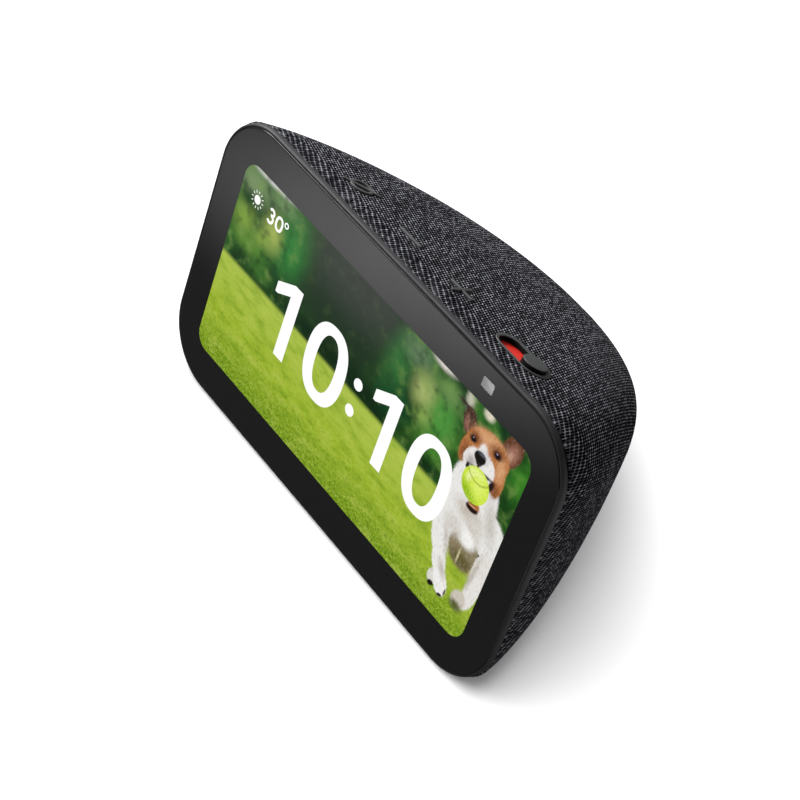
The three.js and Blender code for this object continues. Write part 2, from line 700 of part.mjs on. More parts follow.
function buildPower() {
  const inner = 71.5;
  const bezel = turned(
    [
      [JACK.bore, -BODY_REAR + 0.2],
      [JACK.outer, -BODY_REAR - 0.4],
      [JACK.outer, -BODY_REAR + 4.2],
      [JACK.bore, -BODY_REAR + 4.2],
      [JACK.bore, -BODY_REAR + 0.2],
    ],
    28,
  ).translate(0, JACK.y, 0);
  place(panel, "jack_bezel", bezel, look.shell);
  const socket = cut(
    asSolid(box([-4.6, 4.6], [JACK.y - 4.6, JACK.y + 4.6], [-inner - 0.9, -inner + 11])),
    post(2.9, -80, -inner + 8, 0, JACK.y, 16),
  ).add(asSolid(post(0.8, -inner - 0.4, -inner + 9, 0, JACK.y, 12)));
  place(panel, "power_jack", socket, look.chip);
}

// ---------------------------------------------------------------- speaker
function buildSpeaker() {
  const speaker = new THREE.Group(); // z along the speaker's axis, out of the rear
  speaker.position.set(0, SPEAKER.y, SPEAKER.z);
  speaker.rotation.x = -Math.PI / 2;
  display.add(speaker);
  const r = SPEAKER.radius;

  const basket = turned(
    [
      [BASKET.bore, 0],
      [r, 0],
      [r, -1.2],
      [BASKET.bore + 1.1, -1.2],
      [BASKET.neck + 1.4, -11],
      [BASKET.neck + 1.4, -12.2],
      [8.6, -12.2],
      [8.6, -10.4],
      [BASKET.neck, -10.4],
      [BASKET.bore, -1.6],
      [BASKET.bore, 0],
    ],
    20,
  );
  place(speaker, "speaker_basket", basket, look.chip);
  const magnet = turned(
    [
      [0, MAGNET.back],
      [MAGNET.radius, MAGNET.back],
      [MAGNET.radius, MAGNET.front],
      [MAGNET.bore, MAGNET.front],
      [MAGNET.bore, MAGNET.front - 2.4],
      [0, MAGNET.front - 2.4],
    ],
    20,
  );
  place(speaker, "speaker_magnet", magnet, look.magnet);
  const cone = turned(
    [
      [0, -4.6],
      [3.2, -5],
      [CONE.innerR, -6.4],
      [CONE.radius, -1.7],
      [CONE.radius, -1],
      [CONE.innerR, -5.3],
      [3.4, -3.6],
      [0, -2.9],
    ],
    20,
  );
  place(speaker, "speaker_cone", cone, look.cone);
  const coil = turned([[5.6, -11.6], [6.4, -11.6], [6.4, -6.9], [5.6, -7.2], [5.6, -11.6]], 20);
  place(speaker, "voice_coil", coil, look.ribbon);
  const surround = turned(
    [
      [13.9, 0.3],
      [15.4, 1.7],
      [17, 2.1],
      [18.8, 1],
      [18.8, 0.4],
      [17, 1.4],
      [15.7, 1.1],
      [14.5, 0.1],
      [13.9, 0.3],
    ],
    20,
  );
  place(speaker, "speaker_surround", surround, look.rubber);

  const low = SPEAKER.z - r - 0.4;
  const high = SPEAKER.z + r - 0.6;
  const enclosure = cut(
    asSolid(box([-27, 27], [SPEAKER.y - 26, SPEAKER.y - 2.6], [low, high])),
    box([-25.2, 25.2], [SPEAKER.y - 24.2, SPEAKER.y + 5], [low + 1.6, high - 1.6]),
  );
  place(display, "speaker_enclosure", enclosure, look.shell);
  const gasketOuter = post(r - 0.2, -2.1, -1.6, 0, 0, 20);
  const gasket = cut(asSolid(gasketOuter), post(r - 3.2, -9, 9, 0, 0, 20));
  place(speaker, "speaker_gasket", gasket, look.foam);

  const lead = wire(
    [
      [40, -2, 22],
      [41, 6, 18],
      [36, 10, 17],
      [29.5, 8, 20],
    ],
    0.8,
  );
  place(display, "speaker_cable", lead, look.rubber);
}

// ---------------------------------------------------------------- screws
// A pan-head screw with a cross recess, its head on top of z = 0 and its shank below.
function screwSolid(length, recess) {
  const bodyOfScrew = asSolid(
    turned(
      [
        [0, -length],
        [SCREW.shankR - 0.4, -length],
        [SCREW.shankR, -length + 0.8],
        [SCREW.shankR, 0],
        [SCREW.headR, 0],
        [SCREW.headR, SCREW.headTop / 2],
        [SCREW.headR - 0.6, SCREW.headTop],
        [0, SCREW.headTop],
      ],
      10,
    ),
  );
  if (!recess) return bodyOfScrew;
  return cut(
    bodyOfScrew,
    box([-1.1, 1.1], [-0.22, 0.22], [0.35, 2]),
    box([-0.22, 0.22], [-1.1, 1.1], [0.35, 2]),
  );
}

function buildScrews() {
  bossPlaces.forEach(([x, y], i) => {
    const head = screwSolid(FRAME_SCREW_LENGTH, false).translate(x, y, -FRAME.front - SCREW.headTop);
    place(panel, "frame_screw_" + (i + 1), head, look.screw);
  });
  basePlaces.forEach(([x, y], i) => {
    const head = screwSolid(BASE_SCREW_LENGTH, true).rotate([180, 0, 0]);
    place(display, "base_screw_" + (i + 1), head.translate(x, y, BASE.bottom - 0.05), look.screw);
  });
}

buildFrontStack();
buildBody();
buildBase();
buildButtons();
buildShutter();
buildElectronics();
buildPower();
buildSpeaker();
buildScrews();

export default display;
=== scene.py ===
import json
import math

import bmesh
import bpy
import numpy as np
from mathutils import Matrix, Vector


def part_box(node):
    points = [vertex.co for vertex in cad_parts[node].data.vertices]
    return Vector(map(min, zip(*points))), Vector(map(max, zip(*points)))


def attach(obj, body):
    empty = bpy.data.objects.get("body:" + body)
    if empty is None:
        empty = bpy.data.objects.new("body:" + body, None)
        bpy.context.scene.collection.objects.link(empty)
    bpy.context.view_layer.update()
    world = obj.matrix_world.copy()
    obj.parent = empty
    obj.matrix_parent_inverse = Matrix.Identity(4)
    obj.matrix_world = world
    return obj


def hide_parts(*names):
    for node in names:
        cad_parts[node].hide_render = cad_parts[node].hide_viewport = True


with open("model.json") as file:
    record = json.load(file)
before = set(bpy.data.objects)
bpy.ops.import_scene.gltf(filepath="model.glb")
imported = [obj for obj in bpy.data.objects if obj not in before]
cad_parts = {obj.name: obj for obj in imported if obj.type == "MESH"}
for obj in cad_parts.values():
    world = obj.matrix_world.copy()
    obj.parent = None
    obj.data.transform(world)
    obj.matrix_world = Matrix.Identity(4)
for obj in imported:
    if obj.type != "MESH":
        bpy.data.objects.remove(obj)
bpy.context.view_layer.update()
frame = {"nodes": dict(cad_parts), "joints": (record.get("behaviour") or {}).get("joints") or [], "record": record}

MM = 0.001

# ------------------------------------------------------------------ driving dimensions, millimetres
PANEL_TILT = math.radians(20)
PANEL_W = 147
PANEL_H = 86
PANEL_R = 18
SCREEN_W = 125
SCREEN_H = 62.5
SCREEN_R = 5
GLASS_INSET = 0.85

BODY_FRONT = 2.3
BODY_REAR = 77
BODY_HALF_W = 73.3
REAR_HALF_W = 6
REAR_TOP = 10.5
REAR_BOTTOM = -8
TOP_SLOPE = 0.28
BASE_LINE = 0.364
BODY_CLEAR = 1.3
CORNER_R = 18
CORNER_POWER = 2.4
CORNER_STEPS = 24
TOP_DROP_POWER = 2.4
LIFT_POWER = 12  # the underside stays straight until close to the rear
WIDTH_POWER = 1.4
WIDTH_ROUNDNESS = 1.9
# How the corners open out towards the rear, where the body becomes round.
GROWTH_POWER = 1.5
LOW_CORNER_GROWTH = 34
HIGH_CORNER_GROWTH = 17
CORNER_HEIGHT_GROWTH = 60
SKIN = 0.8
FRONT_SINK = 0.35  # the cloth's rolled front edge lies behind the front of the body

SYMBOL_RISE = 0.55
STROKE = 1.05
BAR_LENGTH = 9.2
MUTE_R = 3
MUTE_SLASH = 11.7
STEM_LOW = -3.5
FLANGE_LOW = -4.1
FLANGE_HIGH = -3.3
FLANGE_SIDE = 12.4
RING_LENGTH = 18.3
RING_WIDTH = 9.4
RING_RISE = 0.3
RING_DEPTH = -1.15
SLOT_LENGTH = 15.7
SLOT_WIDTH = 7.35
SLOT_SHIFT = 0.35  # the slot lies a little nearer to the panel than the ring's middle
KNOB_LENGTH = 7
KNOB_WIDTH = 6.9
KNOB_TOP = 1.4
CAMERA_X = 40.6
CAMERA_Y = 36.6
WINDOW_W = 4.3
WINDOW_H = 3.4
OPENING_GAP = 0.16  # between the cloth and what pokes through it
BASE_GAP = 0.4
GLASS_THICKNESS = 1.1
GLASS_EDGE = 0.22
NOTCH_REACH = 9.0  # the shutter blade's travel and a clearance
JACK_COLLAR_R = 5.4
JACK_HOLE_R = 5.6


# ------------------------------------------------------------------ frames of the panel and the top
def node_points(*names):
    """Corner points of CAD nodes in metres, one row each."""
    rows = [[v.co[:] for v in frame["nodes"][name].data.vertices] for name in names]
    return np.array(sum(rows, []))


def placed(origin, up, normal):
    """Matrix from millimetres (x right, y along up, z along normal) to metres in the object's frame."""
    right = up.cross(normal)
    axes = Matrix((right, up, normal)).transposed().to_4x4()
    return Matrix.Translation(origin) @ axes @ Matrix.Scale(MM, 4)


panel_up = Vector((0, math.sin(PANEL_TILT), math.cos(PANEL_TILT)))
panel_normal = Vector((0, -math.cos(PANEL_TILT), math.sin(PANEL_TILT)))
glass_points = node_points("cover_glass")
glass_up = glass_points @ np.array(panel_up)
panel_origin = (
    panel_up * float(glass_up.min() + glass_up.max()) / 2
    + panel_normal * float((glass_points @ np.array(panel_normal)).max())
)
PANEL = placed(panel_origin, panel_up, panel_normal)

press = next(j for j in frame["joints"] if j["name"] == "mute_press")
top_normal = -Vector(press["axis"]).normalized()
top_back = top_normal.cross(Vector((1, 0, 0)))
symbol_height = float((node_points("mute_button") @ np.array(top_normal)).max())
TOP = placed(top_normal * (symbol_height - SYMBOL_RISE * MM), top_back, top_normal)


def on_top(*names):
    """Middle (x, y) of CAD nodes in the top frame, in millimetres."""
    local = TOP.inverted()
    points = np.array([local @ Vector(p) for p in node_points(*names)])
    middle = (points.min(0) + points.max(0)) / 2
    return float(middle[0]), float(middle[1])


MUTE = on_top("mute_button")
MINUS = on_top("volume_down_button")
PLUS = on_top("volume_up_button")
RING = on_top("shutter_ring")
KNOB = on_top("shutter_knob")


# ------------------------------------------------------------------ mesh helpers
def rounded_rect(half_w, half_h, radius, centre=(0, 0), steps=16):
    """Returns outline(inset): a rounded rectangle, anticlockwise, pulled in by inset."""

    def outline(inset=0.0):
        r = max(radius - inset, 0.02)
        points = []
        for quarter in range(4):
            sx = 1 if quarter in (0, 3) else -1
            sy = 1 if quarter in (0, 1) else -1
            for step in range(steps + 1):
                a = (quarter + step / steps) * math.pi / 2
                x = sx * (half_w - inset - r) + r * math.cos(a)
                y = sy * (half_h - inset - r) + r * math.sin(a)
                points.append((centre[0] + x, centre[1] + y))
        return points

    return outline


def pill(length, width, centre=(0, 0), steps=16):
    return rounded_rect(length / 2, width / 2, width / 2 - 0.01, centre, steps)


def disc(radius, centre=(0, 0), steps=16):
    return rounded_rect(radius, radius, radius - 0.001, centre, steps)


def turned_by(outline, angle, centre):
    """The same outline, turned about a centre."""
    c = math.cos(angle)
    s = math.sin(angle)
    x0, y0 = centre

    def turned(inset=0.0):
        return [
            (x0 + c * (x - x0) - s * (y - y0), y0 + s * (x - x0) + c * (y - y0))
            for x, y in outline(inset)
        ]

    return turned


def swept(outline, profile, ring_shaped=False):
    """Vertices and faces of an outline carried along (inset, z) pairs: capped, or closed on itself."""
    verts = []
    for inset, z in profile:
        verts += [(x, y, z) for x, y in outline(inset)]
    count = len(outline(0.0))
    levels = len(profile)
    faces = []
    for level in range(levels if ring_shaped else levels - 1):
        low = level * count
        high = ((level + 1) % levels) * count
        for i in range(count):
            j = (i + 1) % count
            faces.append((low + i, low + j, high + j, high + i))
    if not ring_shaped:
        faces.append(tuple(reversed(range(count))))
        faces.append(tuple(range((levels - 1) * count, levels * count)))
    return verts, faces


def rounded_top(low, high, edge, steps=5):
    """Profile of a slab from low to high with a rounded upper edge."""
    profile = [(0.0, low)]
    for step in range(steps + 1):
        a = step / steps * math.pi / 2
        profile.append((edge * (1 - math.cos(a)), high - edge * (1 - math.sin(a))))
    return profile


def made(name, shape, matrix=PANEL, material=None):
    """A mesh object from (vertices, faces) in millimetres, with its place in its vertices."""
    verts, faces = shape
    mesh = bpy.data.meshes.new(name)
    mesh.from_pydata([matrix @ Vector(v) for v in verts], [], faces)
    fixed = bmesh.new()
    fixed.from_mesh(mesh)
    bmesh.ops.remove_doubles(fixed, verts=fixed.verts, dist=1e-8)
    bmesh.ops.recalc_face_normals(fixed, faces=fixed.faces)
    fixed.to_mesh(mesh)
    fixed.free()
    thing = bpy.data.objects.new(name, mesh)
    bpy.context.scene.collection.objects.link(thing)
    if material:
        mesh.materials.append(material)
    return thing


def apply_modifiers(thing):
    bpy.context.view_layer.update()
    final = thing.evaluated_get(bpy.context.evaluated_depsgraph_get())
    mesh = bpy.data.meshes.new_from_object(final)
    thing.modifiers.clear()
    thing.data = mesh


def combined(thing, tools, operation):
    """Adds or cuts away other meshes, which are used up."""
    for tool in tools:
        modifier = thing.modifiers.new("combine", "BOOLEAN")
        modifier.operation = operation
        modifier.solver = "EXACT"
        modifier.object = tool
        apply_modifiers(thing)
        bpy.data.objects.remove(tool)
    return thing


MANY_SIDED = 24


def smoothed(thing, angle=35):
    """Smooth shading with sharp creases kept; the many-sided end faces stay flat."""
    for face in thing.data.polygons:
        face.use_smooth = len(face.vertices) < MANY_SIDED
    thing.data.set_sharp_from_angle(angle=math.radians(angle))
    return thing


def stands_for(thing, node, body):
    """Lets a piece ride on a body in place of a CAD node."""
    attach(thing, body)
    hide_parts(node)


# ------------------------------------------------------------------ shader helpers
def srgb(red, green, blue):
    """Colour written as 0-255 screen values."""
    values = [v / 255 for v in (red, green, blue)]
    linear = [v / 12.92 if v <= 0.04045 else ((v + 0.055) / 1.055) ** 2.4 for v in values]
    return (*linear, 1.0)


class Shader:
    """A material whose nodes are made by short calls. Values are numbers, colours or sockets."""

    def __init__(self, name):
        self.material = bpy.data.materials.new(name)
        self.material.use_nodes = True
        self.tree = self.material.node_tree
        self.surface = self.tree.nodes["Principled BSDF"]
        self.place = self.node("TexCoord").outputs["Object"]

    def node(self, kind, inputs=None, **settings):
        new = self.tree.nodes.new("ShaderNode" + kind)
        for key, value in settings.items():
            setattr(new, key, value)
        for key, value in (inputs or {}).items():
            self.feed(new.inputs[key], value)
        return new

    def feed(self, socket, value):
        if isinstance(value, bpy.types.NodeSocket):
            self.tree.links.new(value, socket)
        else:
            socket.default_value = value

    def set(self, **values):
        """Principled inputs by name, with _ for a space."""
        for key, value in values.items():
            self.feed(self.surface.inputs[key.replace("_", " ")], value)
        return self

    def uv(self, name):
        return self.node("UVMap", uv_map=name).outputs["UV"]

    def math(self, operation, *values):
        return self.node("Math", dict(enumerate(values)), operation=operation).outputs[0]

    def add(self, a, b):
        return self.math("ADD", a, b)

    def times(self, a, b):
        return self.math("MULTIPLY", a, b)

    def vector(self, operation, *values):
        new = self.node("VectorMath", operation=operation)
        for index, value in enumerate(values):
            name = 3 if operation == "SCALE" and index == 1 else index
            self.feed(new.inputs[name], value)
        return new.outputs["Value" if operation in ("LENGTH", "DOT_PRODUCT") else "Vector"]

    def noise(self, scale, detail=2.0, place=None, roughness=0.5, colour=False):
        inputs = {
            "Vector": self.place if place is None else place,
            "Scale": scale,
            "Detail": detail,
            "Roughness": roughness,
        }
        return self.node("TexNoise", inputs).outputs["Color" if colour else "Fac"]

    def cells(self, scale):
        return self.node("TexVoronoi", {"Vector": self.place, "Scale": scale}).outputs["Distance"]

    def remap(self, value, low, high, to_low=0.0, to_high=1.0, smooth=False):
        inputs = {"Value": value, 1: low, 2: high, 3: to_low, 4: to_high}
        kind = "SMOOTHSTEP" if smooth else "LINEAR"
        return self.node("MapRange", inputs, interpolation_type=kind).outputs["Result"]

    def mix(self, a, b, factor, blend="MIX"):
        inputs = {"Fac": factor, "Color1": a, "Color2": b}
        return self.node("MixRGB", inputs, blend_type=blend).outputs["Color"]

    def stretched(self, scale, place=None, turn=0.0):
        inputs = {
            "Vector": self.place if place is None else place,
            "Scale": scale,
            "Rotation": (0, 0, turn),
        }
        return self.node("Mapping", inputs).outputs["Vector"]

    def bump(self, height, depth, strength=1.0):
        """Bump with a depth in millimetres."""
        inputs = {"Height": height, "Distance": depth * MM, "Strength": strength}
        self.set(Normal=self.node("Bump", inputs).outputs["Normal"])
        return self


# ------------------------------------------------------------------ materials of the hard parts
def moulded(name, colour, roughness, grain=0.12, depth=0.006, spread=0.18, gloss=0.5):
    """Moulded plastic: fine spark-eroded grain, slight mottling and slightly uneven gloss."""
    s = Shader(name)
    fine = s.noise(1 / (grain * MM), 3.0)
    broad = s.noise(60.0, 3.0)
    dark = tuple(c * (1 - spread) for c in colour[:3]) + (1.0,)
    light = tuple(min(c * (1 + spread), 1.0) for c in colour[:3]) + (1.0,)
    tone = s.remap(s.add(s.times(fine, 0.5), s.times(broad, 0.5)), 0.35, 0.65)
    s.set(Base_Color=s.mix(dark, light, tone))
    s.set(Roughness=s.remap(broad, 0.3, 0.7, roughness - 0.05, roughness + 0.06))
    s.set(Specular_IOR_Level=gloss)
    return s.bump(fine, depth).material


def white_with_painted_glow(name):
    """Milky white plastic with a painted glow: its emission keeps it bright behind the dark glass, where little
    light reaches it.
    """
    s = Shader(name)
    cloud = s.noise(900.0, 2.0)
    s.set(Base_Color=s.mix(srgb(200, 200, 202), srgb(228, 228, 230), cloud), Roughness=0.5)
    # Painted glow: this emission stands in for the light that reaches the blade through the window.
    s.set(Emission_Color=(1.0, 1.0, 1.0, 1.0), Emission_Strength=s.remap(cloud, 0.3, 0.7, 0.22, 0.26))
    return s.bump(cloud, 0.004).material


def metal(name, colour, roughness, brush=(40.0, 4000.0, 4000.0), depth=0.002):
    """Metal with a drawn finish along x and a faint stain."""
    s = Shader(name)
    lines = s.noise(1.0, 4.0, s.stretched(brush))
    stain = s.noise(90.0, 3.0)
    dark = tuple(c * 0.8 for c in colour[:3]) + (1.0,)
    s.set(Metallic=1.0, Base_Color=s.mix(dark, colour, s.remap(stain, 0.3, 0.7)))
    s.set(Roughness=s.remap(lines, 0.3, 0.7, roughness - 0.08, roughness + 0.12))
    return s.bump(lines, depth).material


def foam(name, colour):
    """Open-cell foam."""
    s = Shader(name)
    pores = s.cells(2600.0)
    tone = s.remap(pores, 0.1, 0.6)
    s.set(Base_Color=s.mix(tuple(c * 0.3 for c in colour[:3]) + (1.0,), colour, tone))
    s.set(Roughness=0.95)
    return s.bump(pores, 0.08).material


def rubber(name, colour):
    """Soft rubber with a dusty bloom and a fine matt texture."""
    s = Shader(name)
    fine = s.noise(3500.0, 2.0)
    bloom = s.remap(s.noise(120.0, 4.0), 0.45, 0.75)
    dusty = tuple(c * 1.9 + 0.004 for c in colour[:3]) + (1.0,)
    s.set(Base_Color=s.mix(colour, dusty, bloom), Roughness=s.remap(bloom, 0.0, 1.0, 0.72, 0.9))
    return s.bump(fine, 0.008).material


def circuit_board(name, colour):
    """Solder mask with copper tracks under it and rows of small parts' pads."""
    s = Shader(name)
    tracks = s.node(
        "TexBrick",
        {"Vector": s.place, "Scale": 260.0, "Mortar Size": 0.035, "Brick Width": 0.7, "Row Height": 0.3},
    ).outputs["Fac"]
    pads = s.remap(s.cells(420.0), 0.0, 0.16, 1.0, 0.0)
    mask = s.mix(colour, tuple(min(c * 2.2, 1.0) for c in colour[:3]) + (1.0,), tracks)
    s.set(Base_Color=s.mix(mask, (0.5, 0.42, 0.25, 1.0), pads), Roughness=0.35, Metallic=s.times(pads, 0.8))
    return s.bump(s.add(tracks, pads), 0.02).material


def pressed_paper(name, colour):
    """Speaker cone: felted fibres with a sheen of coating."""
    s = Shader(name)
    fibres = s.noise(1.0, 5.0, s.stretched((1500.0, 500.0, 1500.0)))
    light = tuple(c * 2.4 for c in colour[:3]) + (1.0,)
    s.set(Base_Color=s.mix(colour, light, s.remap(fibres, 0.4, 0.7)), Roughness=0.78)
    return s.bump(fibres, 0.04).material


def film(name, colour, roughness):
    """Glossy laminated film with a slight ripple."""
    s = Shader(name)
    ripple = s.noise(35.0, 2.0)
    s.set(Base_Color=s.mix(colour, tuple(c * 1.4 for c in colour[:3]) + (1.0,), ripple))
    s.set(Roughness=s.remap(ripple, 0.3, 0.7, roughness, roughness + 0.1), Coat_Weight=0.4)
    return s.bump(ripple, 0.03).material


def clear_lens(name):
    s = Shader(name)
    smudge = s.remap(s.noise(700.0, 3.0), 0.5, 0.8, 0.03, 0.12)
    s.set(Base_Color=(0.55, 0.56, 0.58, 1.0), Roughness=smudge, Alpha=0.08)
    return s.material


def inked_glass(name):
    """Cover glass printed black behind: a clear gloss with faint finger smears over a dark base."""
    s = Shader(name)
    smear = s.noise(1.0, 3.0, s.stretched((28.0, 60.0, 18.0)))
    speck = s.noise(1800.0, 2.0)
    ink = s.mix((0.0028, 0.0029, 0.0033, 1.0), (0.0045, 0.0046, 0.005, 1.0), s.remap(speck, 0.4, 0.6))
    s.set(Base_Color=ink, Roughness=s.remap(smear, 0.3, 0.75, 0.1, 0.19), IOR=1.52)
    return s.bump(smear, 0.004).material


RIM_STRETCH = 8.0  # how far back from the rim the net is stretched, millimetres


def knitted(name):
    """Charcoal knitted mesh: bright stitches on a skewed lattice, thin threads and dark holes between."""
    s = Shader(name)
    place = s.uv("weave")
    wander = s.vector("SCALE", s.noise(0.25, 2.0, place, colour=True), 0.3)
    # The net is stretched open where it turns over the front rim.
    along = s.node("SeparateXYZ", {0: place}).outputs[1]
    rim = s.remap(along, 0.0, RIM_STRETCH, 1.0, 0.0)
    stretch = s.node("CombineXYZ", {0: 0.0, 1: s.times(rim, 0.4 * RIM_STRETCH)}).outputs[0]
    drawn = s.vector("ADD", s.vector("ADD", place, wander), stretch)
    first = s.vector("DOT_PRODUCT", drawn, (1.3, 0.39, 0.0))
    second = s.vector("DOT_PRODUCT", drawn, (0.33, 0.83, 0.0))
    wave_1 = s.math("COSINE", s.times(first, 2 * math.pi))
    wave_2 = s.math("COSINE", s.times(second, 2 * math.pi))
    ridge = s.add(s.times(wave_1, 0.8), wave_2)
    knot = s.remap(s.math("SUBTRACT", ridge, s.times(rim, 0.2)), 0.45, 1.6, smooth=True)
    knot = s.times(knot, s.remap(rim, 0.0, 1.0, 1.0, 0.6))
    line = s.remap(s.math("MAXIMUM", wave_1, wave_2), 0.5, 1.0, smooth=True)
    thread = s.times(line, s.remap(rim, 0.0, 1.0, 0.22, 0.6))
    cover = s.math("MAXIMUM", knot, thread)

    cell = s.node("CombineXYZ", {0: s.math("ROUND", first), 1: s.math("ROUND", second)}).outputs[0]
    stitch = s.node("TexWhiteNoise", {"Vector": cell}, noise_dimensions="2D").outputs["Value"]
    fibre = s.noise(9.0, 2.0, place)
    patchy = s.noise(0.12, 3.0, place)
    lit = s.add(s.math("POWER", stitch, 1.6), s.times(s.add(fibre, patchy), 0.35))
    yarn = s.mix(srgb(40, 40, 45), srgb(178, 179, 188), s.remap(lit, 0.25, 1.3))
    s.set(Base_Color=s.mix(srgb(2, 2, 3), yarn, cover))
    s.set(Roughness=s.remap(fibre, 0.3, 0.7, 0.75, 0.95), Specular_IOR_Level=s.times(cover, 0.2))
    height = s.add(cover, s.times(fibre, 0.15))
    return s.bump(height, 0.14, 0.6).material


# ------------------------------------------------------------------ the lit picture
# Soft-edged ellipses painted in order: part, colour, x, y, half width, half height, turn, softness.
TREES = [
    ("shade_middle", (26, 48, 28), -12, 16, 24, 16, 0, 0.6),
    # The grey veil over the top middle is partly the picture's own haze and partly a painted reflection of the
    # glass.
    ("haze_with_painted_reflection", (54, 60, 54), -9, 29, 21, 9, 0, 0.8),
    ("shade_low", (14, 40, 18), -12, 4, 46, 3.4, 0, 0.9),
    ("leaf_corner", (116, 140, 96), -57.5, 26.5, 6.5, 4.5, 0, 0.9),
    ("leaf_top_left", (104, 136, 86), -44, 28.5, 6, 2.6, 0, 0.9),
    ("leaf_left", (122, 154, 60), -58, 15, 4, 5, 20, 0.9),
    ("leaf_left_low", (90, 134, 48), -53.5, 9.5, 5, 2.8, 0, 0.9),
    ("shade_left", (26, 66, 24), -58.5, 21, 3.2, 2.0, 0, 0.9),
    ("leaf_mid_left", (44, 122, 50), -37, 19, 5.4, 8, 0, 0.9),
    ("leaf_mid_left_low", (56, 106, 38), -46, 5.4, 5, 2.4, 0, 0.9),
    ("gold_left", (158, 176, 86), -45.6, 18.4, 3.6, 4.6, 10, 0.9),
    ("gold_left_low", (126, 158, 64), -49, 14.4, 3.2, 2.2, 30, 0.9),
    ("leaf_middle_right", (48, 106, 50), 11.7, 20, 4.6, 8, 0, 0.9),
    ("leaf_high_right", (92, 122, 84), 17, 27.6, 5, 3.4, 0, 0.9),
    ("teal_shade", (14, 70, 36), 14, 9.6, 6, 4, 0, 0.9),
    ("leaf_right", (76, 146, 60), 31, 17.5, 5.4, 6, 0, 0.9),
    ("leaf_right_top", (98, 136, 74), 30.5, 26, 5, 3, 0, 0.9),
    ("leaf_right_low", (70, 128, 44), 31, 8.5, 6, 2.8, 0, 0.9),
    ("gold_right", (160, 176, 104), 22.5, 20, 3.8, 4.4, 0, 0.9),
    ("gold_right_low", (126, 160, 78), 25, 14, 3, 2.4, 30, 0.9),
    ("far_right_shade", (20, 64, 20), 60, 12, 3.6, 6, 0, 0.9),
    ("far_right_leaf", (58, 128, 36), 61, 23, 2.6, 5, 0, 0.9),
    ("pale_gap_left", (206, 208, 200), -51.5, 31.6, 8.5, 1.3, 0, 0.7),
    ("pale_gap_middle", (220, 214, 206), 26, 31.4, 4, 1.3, 0, 0.7),
    ("pale_gap_spot", (190, 190, 172), 37.4, 29.8, 1.5, 2.4, 0, 0.7),
    ("pale_gap_right", (224, 216, 194), 44.6, 30.6, 1.8, 1.4, 0, 0.6),
]
FUR = (236, 235, 232)
FUR_SHADE = (196, 190, 182)
TAN = (184, 118, 66)
TAN_LIGHT = (216, 162, 116)
TAN_DARK = (132, 76, 38)
EAR = (98, 58, 38)
EAR_INSIDE = (156, 108, 88)
INK = (24, 20, 20)
